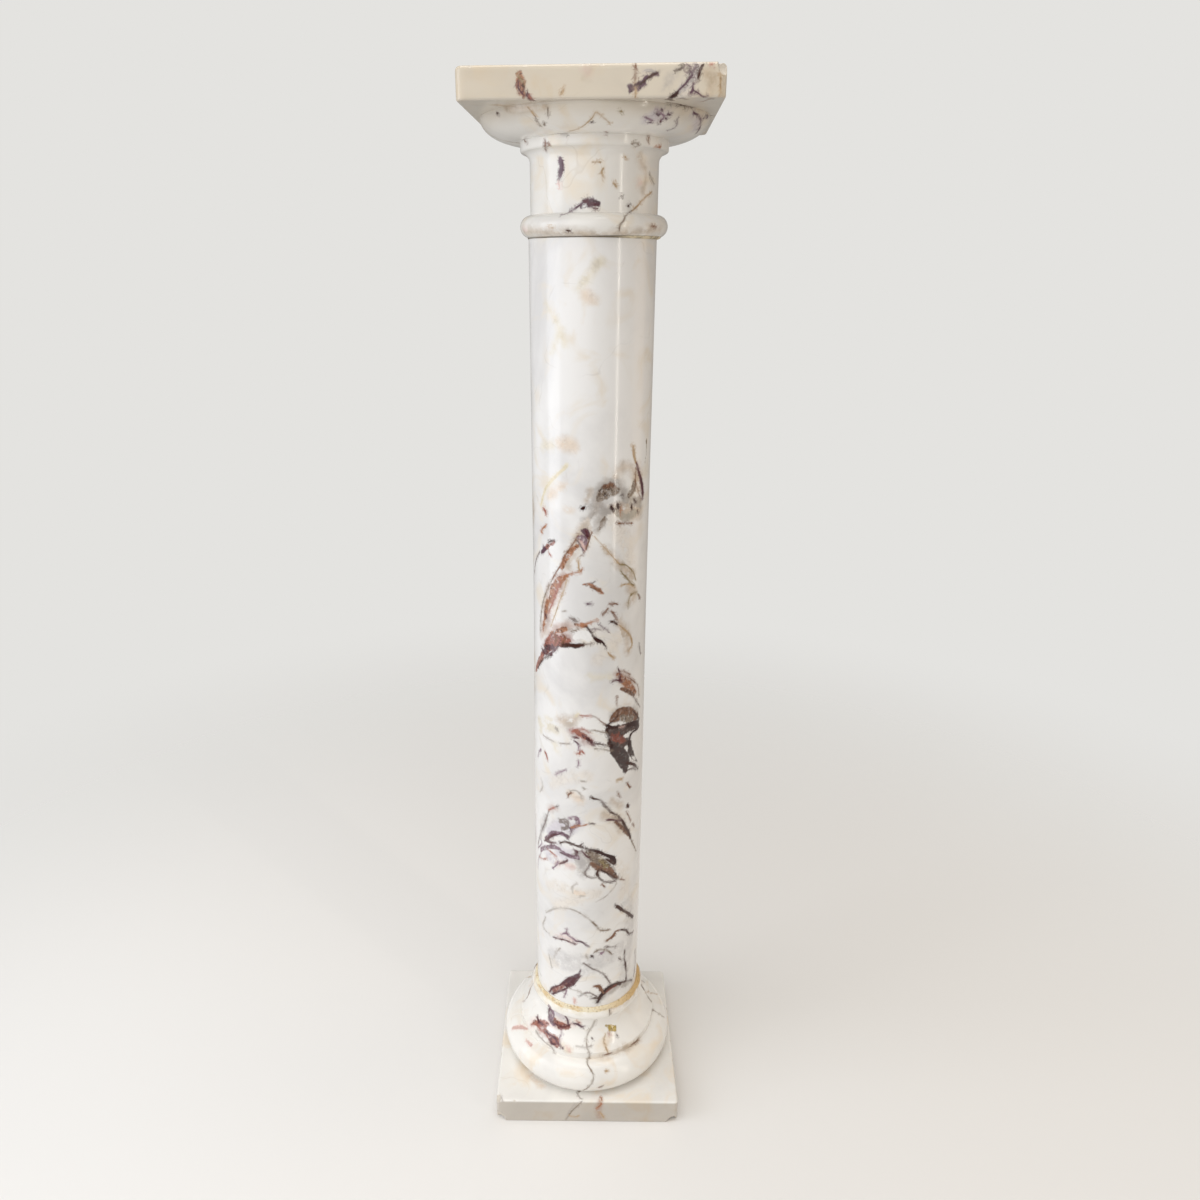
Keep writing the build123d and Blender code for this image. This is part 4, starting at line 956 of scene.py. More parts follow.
# %% Veins of the capital
CAPITAL_VEINS = [
    # Red wedge on the abacus
    (PATCH, "rust", (519, 75, 5), (520, 80, 9), (521, 86, 10), (522, 92, 7), (523, 95, 4)),
    (VEIN, "olive", (518, 74, 1.4), (519.6, 78, 2), (523, 82, 2), (524, 87, 1.6)),
    (VEIN, "maroon", (519, 80, 1.4), (518, 86, 1.6), (520.6, 92, 2), (524, 95, 1.6)),
    (VEIN, "umber", (522.6, 84, 1.6), (524, 88, 1.4)),
    (PATCH, "maroon", (526.4, 90, 2), (528, 94, 3.6), (530.6, 99, 5), (533, 101, 5)),
    (VEIN, "brick", (529, 96, 1.4), (533, 100.6, 2.4)),
    # Marks across the abacus
    (VEIN, "tan", (564, 89, 2), (562.4, 91.6, 2.8), (560.6, 94.4, 1.8)),
    (STAIN, "rose", (586, 70, 4), (589, 71, 4)),
    (VEIN, "sepia", (635.4, 63, 1.8), (635.4, 72, 2.2), (635.2, 82, 2)),
    (VEIN, "tan", (635.2, 82, 1.8), (635.6, 92, 2), (635.4, 98, 1.4)),
    (PATCH, "violet", (629, 86, 3), (632, 88, 5), (630, 92, 3)),
    (PATCH, "violet", (634, 88, 5), (639, 86, 7.6), (643.6, 84, 6.6)),
    (VEIN, "violet", (643.6, 83, 3), (643.8, 80, 2.4), (647, 76.6, 3)),
    (PATCH, "violet", (647, 77.6, 4), (652, 75.8, 5), (656, 74.4, 3.6)),
    (VEIN, "umber", (636, 84, 1.6), (642, 83.4, 2), (646, 79, 1.6), (653, 75, 2), (659, 71.6, 1)),
    (VEIN, "ash", (643.8, 71, 1.2), (648.6, 69.6, 1.4), (654.6, 71, 1.2)),
    # Network at the right end of the abacus
    (STAIN, "lilac", (697, 68, 8), (690, 80, 9), (681, 92, 8)),
    (STAIN, "ash", (672, 78, 6), (664, 90, 6)),
    (PATCH, "ash", (697.6, 68, 5), (690, 80, 6), (681, 92, 5)),
    (VEIN, "black", (675.8, 71, 1.8), (680.4, 68.6, 2.4), (684.4, 64.6, 2)),
    (VEIN, "violet", (683.6, 68.6, 1.4), (685, 65, 1.8), (689.6, 65.6, 1.4), (690.6, 69.6, 1.8),
        (687, 72.4, 1.6), (683.6, 69.6, 1.4)),
    (VEIN, "black", (687, 68.4, 1.6), (687.8, 68.8, 1.6)),
    (VEIN, "violet", (693.8, 63.2, 1.6), (696.4, 65.9, 2), (692.9, 70.4, 1.8), (687.5, 73.5, 1.6)),
    (VEIN, "umber", (703.6, 64, 2), (700.6, 68.6, 2.6), (699.6, 73, 2.4), (697.8, 78.4, 1.8)),
    (VEIN, "violet", (693, 74, 1.6), (688.4, 80.2, 2), (684, 85, 1.6), (678.6, 90, 2)),
    (PATCH, "umber", (678, 92, 2), (674, 95.6, 3.6), (670, 99.4, 5.6), (672, 100.6, 4)),
    (VEIN, "black", (678.6, 91, 1.4), (673, 95.8, 2), (668, 99.6, 2)),
    (VEIN, "grey", (678.6, 99, 1.8), (682, 98, 1.6), (686.6, 99.4, 1.8)),
    (VEIN, "violet", (693.3, 83.8, 1.2), (692.4, 90, 1.6), (690.2, 93.6, 1.2)),
    (VEIN, "violet", (692.4, 90.4, 1.2), (697.3, 92.2, 1.4), (701.8, 96.3, 1.4), (707, 97, 1.2)),
    (VEIN, "tan", (720.6, 74, 2), (720.8, 84, 2.4), (720.4, 93.6, 1.8)),
    (VEIN, "brick", (711.6, 64.4, 1.6), (712.6, 64.8, 1.6)),
    (VEIN, "umber", (710, 98.8, 1.8), (711.6, 99, 1.8)),
    (STAIN, "tan", (706, 72, 8), (712, 82, 8), (708, 92, 6)),
    # Soffit and echinus
    # Painted shade: the tan stain below the slab's left corner stands for the shaded underside there.
    (STAIN, "tan", (497, 105, 8), (520, 108, 6), (545, 106, 3)),
    (VEIN, "umber", (496.6, 112.6, 1.6), (498, 113.6, 1.6)),
    (VEIN, "umber", (667, 102.5, 1.6), (674, 103.4, 2), (680.4, 104.7, 1.8), (689.3, 106.5, 2),
        (693.8, 107.4, 1.4)),
    (VEIN, "sepia", (702.7, 101.6, 1.4), (707, 100, 1.8), (711, 98.5, 1.2)),
    (VEIN, "umber", (705.4, 115.5, 1.6), (712.5, 115.5, 1.8)),
    (VEIN, "tan", (528, 107, 1.4), (531.6, 111.6, 1.8), (535.2, 116.5, 1.8)),
    (VEIN, "smoke", (535.2, 116.5, 1.4), (538.3, 122.6, 1.4), (541.3, 126.5, 1.2)),
    (VEIN, "smoke", (547.8, 107.3, 1.1), (547.9, 116.5, 1.2)),
    (VEIN, "smoke", (544.4, 122.6, 1.6), (544.4, 125.7, 1.6)),
    (VEIN, "umber", (557.4, 133.4, 1.4), (562, 133.6, 1.8), (566.6, 133.3, 1.2)),
    (VEIN, "umber", (591, 122, 1.8), (592.6, 122.2, 1.8)),
    (VEIN, "tan", (597, 112, 1.1), (604, 118, 1.4), (610, 123, 1.1)),
    (VEIN, "tan", (596, 112, 1), (590, 120, 1.2), (580, 128, 1.4), (570, 131, 1.2)),
    (VEIN, "sepia", (606, 131.6, 1.8), (607, 132.6, 1.6)),
    (VEIN, "olive", (620.6, 111, 2), (622, 112, 2)),
    # Violet cluster on the echinus
    (STAIN, "lilac", (648, 120, 9), (658, 116, 14), (668, 114, 8)),
    (VEIN, "violet", (661, 108.6, 1.8), (662, 110.4, 2.4)),
    (VEIN, "violet", (656.6, 113.4, 2.4), (659, 115, 2.6)),
    (VEIN, "violet", (667.6, 114, 2), (670, 115.2, 2)),
    (VEIN, "violet", (665.4, 118, 2), (666.8, 119.4, 2)),
    (VEIN, "maroon", (660.7, 120.4, 2), (660.5, 123, 2)),
    (VEIN, "violet", (649, 122.4, 2), (651, 122.8, 2)),
    (VEIN, "mauve", (645, 117, 1.6), (648, 118.6, 2), (652.7, 120.8, 1.8)),
    (VEIN, "mauve", (657, 109, 1.4), (660, 113, 1.4), (664, 116, 1.6), (662, 120, 1.4)),
    (VEIN, "violet", (677.2, 118.6, 1.4), (676.8, 124.8, 1.8), (673.2, 128.8, 1.6), (668.3, 130.2, 1.4)),
    (STAIN, "lilac", (693, 116, 6), (696, 123, 8), (695, 130, 5)),
    (VEIN, "violet", (693.3, 112.3, 2), (699.1, 116.8, 2.4), (700.9, 122.1, 2), (699.1, 129.3, 2),
        (696, 133.8, 1.6)),
    (VEIN, "violet", (702.7, 118.6, 1.2), (711, 116, 1.4)),
    (VEIN, "umber", (693, 128, 2), (694.6, 131, 2.6), (694.6, 134, 2)),
    # Band and neck
    (VEIN, "sepia", (523, 139.6, 1.4), (525, 141.6, 1.6), (527, 142, 1.2)),
    (VEIN, "sepia", (545, 139.5, 1.8), (545.4, 145, 2.2), (546, 151, 1.6)),
    (VEIN, "sepia", (545.6, 143, 1.2), (549.4, 144.6, 1.4), (547, 147, 1.2)),
    (VEIN, "smoke", (632, 144, 1.4), (636, 143, 1.6), (639, 146, 1.4), (634, 147, 1.2)),
    (VEIN, "rust", (656, 147, 2), (660.4, 147, 2)),
    (VEIN, "sepia", (648.7, 137, 1.4), (648.7, 141, 1.4)),
    (VEIN, "violet", (560.2, 159, 3.4), (561.6, 165.8, 4.6), (560.2, 175.5, 3), (558.5, 181, 2.4)),
    (PATCH, "mauve", (560, 160, 5), (561.6, 168, 6), (560, 176, 4)),
    (VEIN, "rose", (558.5, 181, 2), (559.6, 187.5, 2)),
    (PATCH, "violet", (582, 205.6, 5), (586.7, 202.6, 9), (592, 202, 8), (597.4, 204, 5)),
    (VEIN, "maroon", (583, 200, 1.8), (587, 203, 2.6), (592, 207, 2), (598, 209, 1.2)),
    (VEIN, "maroon", (588, 198, 1.4), (588, 203, 2.2), (594, 204, 2), (598.7, 204.3, 1.4)),
    (VEIN, "white", (583.4, 206.6, 2.4), (585.4, 205.6, 2)),
    (VEIN, "violet", (580.2, 204.8, 2), (574.8, 208.6, 2), (569.4, 212.4, 1.4), (561.8, 215.1, 1)),
    (VEIN, "tan", (603.5, 168, 1.6), (601.4, 172.3, 2), (604, 177.7, 1.6)),
    (VEIN, "tan", (613.8, 183, 1.8), (616.5, 187, 2)),
    (VEIN, "tan", (592, 162, 1.6), (600.8, 162, 1.6)),
    (VEIN, "tan", (624.6, 156.6, 1.6), (626, 157.6, 1.6)),
    (VEIN, "smoke", (649.1, 173.4, 1.6), (651.6, 178.6, 1.8), (653.9, 184.2, 1.6)),
    (STAIN, "rose", (641, 182, 4), (645, 184, 4)),
    (VEIN, "tan", (651.8, 191.8, 1.3), (647, 196, 1.5), (642, 200.5, 1.5), (635.5, 208.1, 1.5),
        (631.7, 210.8, 1.2)),
    (VEIN, "smoke", (631.7, 210.8, 1.2), (625.8, 215.6, 1.4), (624.1, 220, 1.4), (619.8, 225.4, 1.6),
        (619.3, 230.8, 1.6)),
    (VEIN, "umber", (628, 205.6, 1.4), (629, 206.2, 1.4)),
    (VEIN, "umber", (621, 195.6, 1.4), (621.8, 196.4, 1.4)),
    (STAIN, "tan", (640, 160, 6), (646, 172, 7), (644, 188, 6)),
    # Astragal
    (STAIN, "tan", (524, 231, 5), (550, 233, 5), (590, 234, 5), (630, 233, 5), (660, 230, 5)),
    (VEIN, "tan", (549, 227.4, 2), (553, 227.8, 2)),
    (VEIN, "umber", (566.6, 230.6, 2), (570, 231, 2)),
    (VEIN, "sepia", (651, 226.4, 2), (656, 226.6, 1.8)),
    (STAIN, "rose", (523, 229.4, 4), (527, 230, 4)),
]
print("veins", len(SHAFT_VEINS), len(BASE_VEINS), len(CAPITAL_VEINS))

# %% [markdown]
# ## From the photograph onto the stone
# Each picked point is a ray from the lens. Where the ray meets the stone is where the vein lies,
# and its width in pixels becomes millimetres by the distance. Between the points a smooth curve
# runs, so a few points are enough.

# %% Curves on the surface
SAMPLE_PIXELS = 2.5
JUMP = 9.0


def smooth_line(points, spacing):
    """A Catmull-Rom curve through the points, sampled about a spacing apart."""
    points = np.array(points, float)
    if len(points) < 2:
        return points
    padded = np.vstack([2 * points[0] - points[1], points, 2 * points[-1] - points[-2]])
    samples = []
    for a, b, c, d in zip(padded, padded[1:], padded[2:], padded[3:]):
        count = max(1, round(np.hypot(*(c - b)[:2]) / spacing))
        for t in np.arange(count) / count:
            samples.append(b + 0.5 * t * (c - a + t * (2 * a - 5 * b + 4 * c - d + t * (3 * (b - c) + d - a))))
    return np.array(samples + [points[-1]])


def surface_runs(tree, rays):
    """Points and half widths where the rays meet the surface, split where the surface jumps."""
    runs, run = [], []
    for origin, direction, width in rays:
        place = tree.ray_cast(origin, direction)[0]
        if place is None:
            continue
        half = width(place) / 2 if callable(width) else width / 2
        spot = (*(place / MM), half)
        if run and np.linalg.norm(np.subtract(spot[:3], run[-1][:3])) > JUMP:
            runs.append(run)
            run = []
        run.append(spot)
    return [np.array(r) for r in runs + [run] if len(r) > 1]


def photo_rays(points):
    """Rays through a line drawn on the photograph."""
    view_axis = look @ Vector((0, 0, -1))
    rays = []
    for x, y, pixels in smooth_line(points, SAMPLE_PIXELS):
        across, up = (x - PRINCIPAL_PIXEL[0]) / FOCAL_PIXELS, (PRINCIPAL_PIXEL[1] - y) / FOCAL_PIXELS
        direction = (look @ Vector((across, up, -1))).normalized()
        width = lambda place, w=pixels: w * (place - EYE).dot(view_axis) / FOCAL_PIXELS / MM
        rays.append((EYE, direction, width))
    return rays


# %% [markdown]
# ## Veins on the sides that the photograph hides
# The stone doesn't stop where the picture does. A seeded walk draws veins of the same kinds round
# the back: a stain, a patch on it, a dark edge or two along that, and lines that run out of its ends.

# %% Seeded veins
hidden_random = np.random.default_rng(29)
FRONT_HALF_ANGLE = 84.0
OUTSIDE, SIDE_SPACING, FINEST = 0.6, 3.0, 0.3


def side_rays(points, tilt):
    """Rays from outside towards the axis: points are (angle from the front, height, width) in mm."""
    rays = []
    for angle, height, width in smooth_line(points, SIDE_SPACING):
        a = radians(angle)
        outward = Vector((sin(a), -cos(a), 0))
        origin = outward * OUTSIDE + Vector((0, 0, height * MM + OUTSIDE * tilt))
        rays.append((origin, Vector((0, 0, height * MM)) - origin, max(float(width), FINEST)))
    return [(o, d.normalized(), w) for o, d, w in rays]


def walk(start, heading, length, widest, radius, steps=11, bend=0.3):
    """A wandering line on a round side, widest in its middle."""
    angle, height = start
    points = []
    for k in range(steps):
        swell = sin(pi * (k + 0.6) / steps) * hidden_random.uniform(0.6, 1.3)
        points.append((angle, height, widest * max(swell, 0.25)))
        heading += hidden_random.normal(0, bend)
        angle += np.degrees(cos(heading) * length / steps / radius)
        angle = min(max(angle, FRONT_HALF_ANGLE), 360 - FRONT_HALF_ANGLE)
        height += sin(heading) * length / steps
    return points


def cluster(angle, height, size, radius, palette):
    """A patch with dark edges whose ends run out into lines, like those in the photograph."""
    stain, body, edge, line_tone = palette
    heading = hidden_random.choice([-1, 1]) * hidden_random.uniform(0.35, 1.15)
    strokes = [(STAIN, stain, walk((angle, height), heading, size * 1.2, size * 0.3, radius))]
    spine = walk((angle, height), heading, size, size * 0.15, radius)
    strokes.append((STAIN, stain, spine[3:]))
    strokes.append((PATCH, body, spine))
    strokes.append((VEIN, edge, [(a, z - w * 0.5, w * 0.22) for a, z, w in spine]))
    if hidden_random.random() < 0.6:
        strokes.append((VEIN, edge, [(a, z + w * 0.5, w * 0.16) for a, z, w in spine[3:]]))
    for (a, z, w), onward in ((spine[0], heading + pi), (spine[-1], heading), (spine[-4], heading)):
        strayed = onward + hidden_random.normal(0, 0.5)
        strokes.append((VEIN, line_tone, walk((a, z), strayed, size * hidden_random.uniform(0.4, 1.1), 1.2,
            radius)))
    return strokes


PALETTES = [
    ("rose", "brick", "maroon", "mauve"),
    ("peach", "rust", "umber", "sepia"),
    ("lilac", "violet", "umber", "grey"),
    ("tan", "smoke", "umber", "smoke"),
    ("rose", "maroon", "umber", "violet"),
]


def hidden_strokes(low, high, count, size_range, radius, lines):
    """Seeded clusters and single lines over the hidden part of a stone's height."""
    strokes = []
    for k in range(count):
        angle = hidden_random.uniform(FRONT_HALF_ANGLE + 14, 360 - FRONT_HALF_ANGLE - 14)
        height = low + (high - low) * (k + hidden_random.uniform(0.1, 0.9)) / count
        palette = PALETTES[hidden_random.integers(len(PALETTES))]
        strokes += cluster(angle, height, hidden_random.uniform(*size_range), radius, palette)
    for _ in range(lines):
        angle = hidden_random.uniform(FRONT_HALF_ANGLE, 360 - FRONT_HALF_ANGLE)
        height, heading = hidden_random.uniform(low, high), hidden_random.uniform(-1.2, 1.2)
        tone = hidden_random.choice(["ash", "smoke", "grey", "tan", "sepia", "mauve"])
        length = hidden_random.uniform(25, 90)
        strokes.append((VEIN, str(tone), walk((angle, height), heading, length, 1.1, radius)))
    return strokes


# %% [markdown]
# ## Distances for the shader
# A shader can't know a curve, but it can read numbers that the mesh carries. So every point of the
# mesh near a vein stores how far it is from the vein's edge, below zero inside. A thin line would
# slip between two points that way, so it also stores the distance from its middle, with a sign for
# the side: between the points that changes evenly through zero, and the shader can draw a line far
# finer than the mesh.

# %% Distances from the veins
REACH = 9.0
THIN = 1.6
LINE_REACH, LINE_FADE = 1.9, 1.0
END_REACH = 0.5
FAR, RAGGED = 50.0, 0.5
SLACK, MEND_REACH, MEND_FADE = 1.15, 0.9, 0.6


def linear(code):
    """A hex colour, as picked on a screen, as the linear values that a shader works in."""
    parts = [int(code[i : i + 2], 16) / 255 for i in (1, 3, 5)]
    return [p / 12.92 if p <= 0.04045 else ((p + 0.055) / 1.055) ** 2.4 for p in parts]


class Layer:
    """For one layer of veins: the nearest vein's edge, middle, half width, weight and tone."""

    def __init__(self, count):
        self.drawn = 0
        self.owner = np.zeros(count, int)
        self.line = np.tile([FAR, 0.0, 0.0], (count, 1))
        self.ragged = np.random.default_rng(11).normal(0, RAGGED, count)
        self.tone = np.tile([1.0, 1.0, 1.0, 2 * REACH], (count, 1))

    def draw(self, run, tone, points, normals):
        """Updates the points that are nearer to this run of a vein than to any before."""
        self.drawn += 1
        path, half = run[:, :3], run[:, 3]
        margin = half.max() + REACH
        inside = (points > path.min(0) - margin) & (points < path.max(0) + margin)
        chosen = np.flatnonzero(np.all(inside, axis=1))
        if not len(chosen):
            return
        p, n = points[chosen], normals[chosen]
        start, span = path[:-1], np.diff(path, axis=0)
        t = np.einsum("nmk,mk->nm", p[:, None] - start, span) / np.maximum((span**2).sum(1), 1e-9)
        past_end = (t[:, 0] < 0, t[:, -1] > 1)
        t = np.clip(t, 0, 1)
        offset = p[:, None] - (start + t[..., None] * span)
        width = half[:-1] + t * np.diff(half)
        gaps = np.linalg.norm(offset, axis=2) - width
        best, row = np.argmin(gaps, axis=1), np.arange(len(chosen))
        gap, w = gaps[row, best], width[row, best]
        side = np.einsum("nk,nk->n", np.cross(n, span[best]), offset[row, best])
        signed = (gap + w) * np.where((w > THIN) | (side >= 0), 1, -1)
        capped = ((best == 0) & past_end[0]) | ((best == len(span) - 1) & past_end[1])
        limit = np.where(capped & (w <= THIN), END_REACH, LINE_REACH)
        weight = np.clip((limit - gap) / LINE_FADE, 0, 1)
        closer = gap < self.tone[chosen, 3]
        over = gap + self.ragged[chosen] < 0
        self.tone[chosen[closer | over], :3] = linear(TONES[tone])
        target = chosen[closer]
        self.line[target] = np.stack([signed, w, weight], 1)[closer]
        self.tone[target, 3] = gap[closer]
        self.owner[target] = self.drawn

    def mend(self, edges, points):
        """Fades two veins where their signs differ, so that no false line shows between them."""
        a, b = edges.T
        s = self.line[:, 0]
        apart = (self.owner[a] != self.owner[b]) & (s[a] * s[b] < 0)
        spacing = np.linalg.norm(points[a] - points[b], axis=1)
        false = apart & (np.abs(s[a]) + np.abs(s[b]) > SLACK * spacing)
        for end in (a[false], b[false]):
            faded = np.clip((MEND_REACH - self.tone[end, 3]) / MEND_FADE, 0, 1)
            self.line[end, 2] = np.minimum(self.line[end, 2], faded)


def paint(piece, drawn, zones):
    """Stores all the veins of a stone in its mesh: a colour per layer, and a line for the veins."""
    mesh = piece.data
    tree = BVHTree.FromPolygons([v.co for v in mesh.vertices], [p.vertices for p in mesh.polygons])
    points, normals = np.empty(len(mesh.vertices) * 3), np.empty(len(mesh.vertices) * 3)
    mesh.vertices.foreach_get("co", points)
    mesh.vertices.foreach_get("normal", normals)
    points, normals = points.reshape(-1, 3) / MM, normals.reshape(-1, 3)
    edges = np.empty(len(mesh.edges) * 2, int)
    mesh.edges.foreach_get("vertices", edges)
    layers = {name: Layer(len(points)) for name in (STAIN, PATCH, VEIN)}
    batches = [(layer, tone, photo_rays(dots)) for layer, tone, *dots in drawn]
    for tilt, *zone in zones:
        batches += [(layer, tone, side_rays(dots, tilt)) for layer, tone, dots in hidden_strokes(*zone)]
    for layer, tone, rays in batches:
        for run in surface_runs(tree, rays):
            layers[layer].draw(run, tone, points, normals)
    layers[VEIN].mend(edges.reshape(-1, 2), points)
    lines = mesh.attributes.new("vein_line", "FLOAT_VECTOR", "POINT")
    lines.data.foreach_set("vector", layers[VEIN].line.ravel())
    for name, layer in layers.items():
        mesh.attributes.new(name, "FLOAT_COLOR", "POINT").data.foreach_set("color", layer.tone.ravel())
    print(piece.name, "veins", len(batches))


# %% Zones of the hidden sides, and the painting
# A zone: the rays' tilt, its lowest and highest point, how many clusters, how large they are, the
# stone's radius there, and how many single lines.
SHAFT_ZONES = ((0, 130, 700, 13, (35, 80), FOOT_RADIUS, 44), (0, 700, 900, 2, (20, 35), TOP_RADIUS, 12))
BASE_ZONES = ((0.5, 32, 110, 3, (25, 50), 75, 10), (0, 2, 27, 1, (20, 35), 100, 6))
CAPITAL_ZONES = (
    (-0.3, 935, 1000, 3, (20, 45), 65, 9),
    (0, 1007, 1024, 2, (20, 40), 100, 7),
    (1, TOP - 85, TOP - 20, 2, (30, 60), 60, 5),
)
paint(shaft, SHAFT_VEINS, SHAFT_ZONES)
paint(base, BASE_VEINS, BASE_ZONES)
paint(capital, CAPITAL_VEINS, CAPITAL_ZONES)

# %% [markdown]
# ## Marble
# Marble is calcite: an index of refraction near 1.6 and a soft polish. The colour is built up as
# the veins are: first slow clouds, then a faint net of the finest lines, then the stains, patches
# and veins. Every layer is roughened by noise of its own size, because real edges creep. Noise
# scales are per metre: a scale of 120 gives grains of about 8 mm.

# %% The node helper
def add(tree, kind, inputs=None, settings=None):
    """Adds a node; an input is a value, an output that feeds it, or a node whose output does."""
    node = tree.nodes.new("ShaderNode" + kind)
    for name, value in (settings or {}).items():
        setattr(node, name, value)
    for key, value in (inputs or {}).items():
        named = (socket for socket in node.inputs if socket.enabled and socket.name == key)
        socket = next(named) if isinstance(key, str) else node.inputs[key]
        if isinstance(value, bpy.types.Node):
            value = next(output for output in value.outputs if output.enabled)
        if isinstance(value, bpy.types.NodeSocket):
            tree.links.new(value, socket)
        else:
            socket.default_value = value
    return node


def new_material(name):
    """An empty node material, ready for its shader."""
    material = bpy.data.materials.new(name)
    material.use_nodes = True
    material.node_tree.nodes.clear()
    return material


def hex_colour(code):
    """A hex colour as the four values of a colour socket."""
    return linear(code) + [1.0]


OPERATIONS = ("ADD", "SUBTRACT", "MULTIPLY", "ABSOLUTE", "MAXIMUM", "MULTIPLY_ADD")
ADD, SUBTRACT, MULTIPLY, ABSOLUTE, MAXIMUM, MULTIPLY_ADD = ({"operation": name} for name in OPERATIONS)
COLOUR_MIX = {"data_type": "RGBA"}
COLOUR_MULTIPLY = {"data_type": "RGBA", "blend_type": "MULTIPLY"}
SMOOTH = {"interpolation_type": "SMOOTHSTEP"}


def ramp(value, low, high, top=1.0):
    """The inputs of a step from 0 at low to top at high."""
    return {"Value": value, "From Min": low, "From Max": high, "To Max": top}


def from_mesh(name):
    """The settings that read what the mesh stores under a name."""
    return {"attribute_type": "GEOMETRY", "attribute_name": name}


def net_of(tree, noise):
    """How far a noise is from its middle value: zero along a net of fine lines."""
    return add(tree, "Math", {0: add(tree, "Math", {0: noise, 1: 0.5}, SUBTRACT)}, ABSOLUTE)


# %% Marble: clouds and the finest lines
def stone_ground(tree, place, clear, cloud, warm, hair):
    """The stone's own colour, before the drawn veins."""
    slow = add(tree, "TexNoise", {"Vector": place, "Scale": 9.0, "Detail": 5.0, "Roughness": 0.55,
        "Distortion": 0.6})
    patchy = add(tree, "TexNoise", {"Vector": place, "Scale": 23.0, "Detail": 4.0, "Distortion": 1.2})
    greyness = add(tree, "MapRange", ramp(slow, 0.42, 0.72), SMOOTH)
    warmth = add(tree, "MapRange", ramp(patchy, 0.5, 0.78), SMOOTH)
    colour = add(tree, "Mix", {"Factor": greyness, "A": hex_colour(clear), "B": hex_colour(cloud)},
        COLOUR_MIX)
    colour = add(tree, "Mix", {"Factor": warmth, "A": colour, "B": hex_colour(warm)}, COLOUR_MIX)
    bend = add(tree, "TexNoise", {"Vector": place, "Scale": 16.0, "Detail": 3.0})
    bent = add(tree, "VectorMath", {0: bend.outputs["Color"], 1: (0.05, 0.05, 0.05), 2: place},
        MULTIPLY_ADD)
    net = add(tree, "TexNoise", {"Vector": bent, "Scale": 14.0, "Detail": 2.5, "Roughness": 0.4})
    thread = add(tree, "MapRange", ramp(net_of(tree, net), 0.006, 0.0), SMOOTH)
    where = add(tree, "MapRange", ramp(patchy, 0.42, 0.62, 0.16), SMOOTH)
    faint = add(tree, "Math", {0: thread, 1: where}, MULTIPLY)
    return add(tree, "Mix", {"Factor": faint, "A": colour, "B": hex_colour(hair)}, COLOUR_MIX)


# %% Marble: what every drawn layer shares
def uneven(tree, place, scale, detail, spread_mm):
    """Noise as a length: about half the spread to either side of zero."""
    noise = add(tree, "TexNoise", {"Vector": place, "Scale": scale, "Detail": detail, "Roughness": 0.6})
    return add(tree, "Math", {0: noise, 1: spread_mm, 2: -spread_mm / 2}, MULTIPLY_ADD)


def mottled(tree, place, tone, ground, scale, window_share, net_share):
    """A vein's colour: uneven grains, a fine dark net, and windows onto the stone where it is pale."""
    grains = add(tree, "TexNoise", {"Vector": place, "Scale": scale, "Detail": 5.0, "Roughness": 0.65})
    shade = add(tree, "MapRange", {"Value": grains, "From Min": 0.3, "From Max": 0.7, "To Min": 0.62,
        "To Max": 1.15})
    coarse = add(tree, "MapRange", {"Value": tone, "From Min": 0.4, "From Max": 0.85, "To Min": 1.0,
        "To Max": 0.15})
    grained = add(tree, "Mix", {"Factor": coarse, "A": tone, "B": shade}, COLOUR_MULTIPLY)
    net = add(tree, "TexNoise", {"Vector": place, "Scale": scale * 0.55, "Detail": 4.0, "Distortion": 0.8})
    thread = add(tree, "MapRange", ramp(net_of(tree, net), 0.03, 0.004, net_share), SMOOTH)
    netted = add(tree, "Mix", {"Factor": thread, "A": grained, "B": hex_colour("#7a5c50")}, COLOUR_MULTIPLY)
    windows = add(tree, "TexNoise", {"Vector": place, "Scale": scale * 0.8, "Detail": 5.0,
        "Roughness": 0.7})
    window = add(tree, "MapRange", ramp(windows, 0.52, 0.66, window_share), SMOOTH)
    paleness = add(tree, "MapRange", {"Value": tone, "From Min": 0.08, "From Max": 0.3, "To Min": 0.12})
    opened = add(tree, "Math", {0: window, 1: paleness}, MULTIPLY)
    return add(tree, "Mix", {"Factor": opened, "A": netted, "B": ground}, COLOUR_MIX)


# %% Marble: stains and patches
STAIN_LOOK = {"creep": (60.0, 6.0, 18.0), "softness": 5.0, "strength": 0.6, "mottle": (120.0, 0.85, 0.15)}
PATCH_LOOK = {"creep": (150.0, 6.0, 8.0), "softness": 0.9, "strength": 0.95, "mottle": (300.0, 0.8, 0.9)}
LINE_MOTTLE = (420.0, 0.3, 0.0)


def area_layer(tree, place, under, ground, layer, creep, softness, strength, mottle):
    """Lays stains or patches over a colour: the stored distance, made uneven, becomes a mask."""
    stored = add(tree, "Attribute", settings=from_mesh(layer))
    fine = uneven(tree, place, *creep)
    moved = add(tree, "Math", {0: stored.outputs["Alpha"], 1: fine}, ADD)
    mask = add(tree, "MapRange", ramp(moved, softness, -softness, strength), SMOOTH)
    tone = mottled(tree, place, stored.outputs["Color"], ground, *mottle)
    return add(tree, "Mix", {"Factor": mask, "A": under, "B": tone}, COLOUR_MIX)


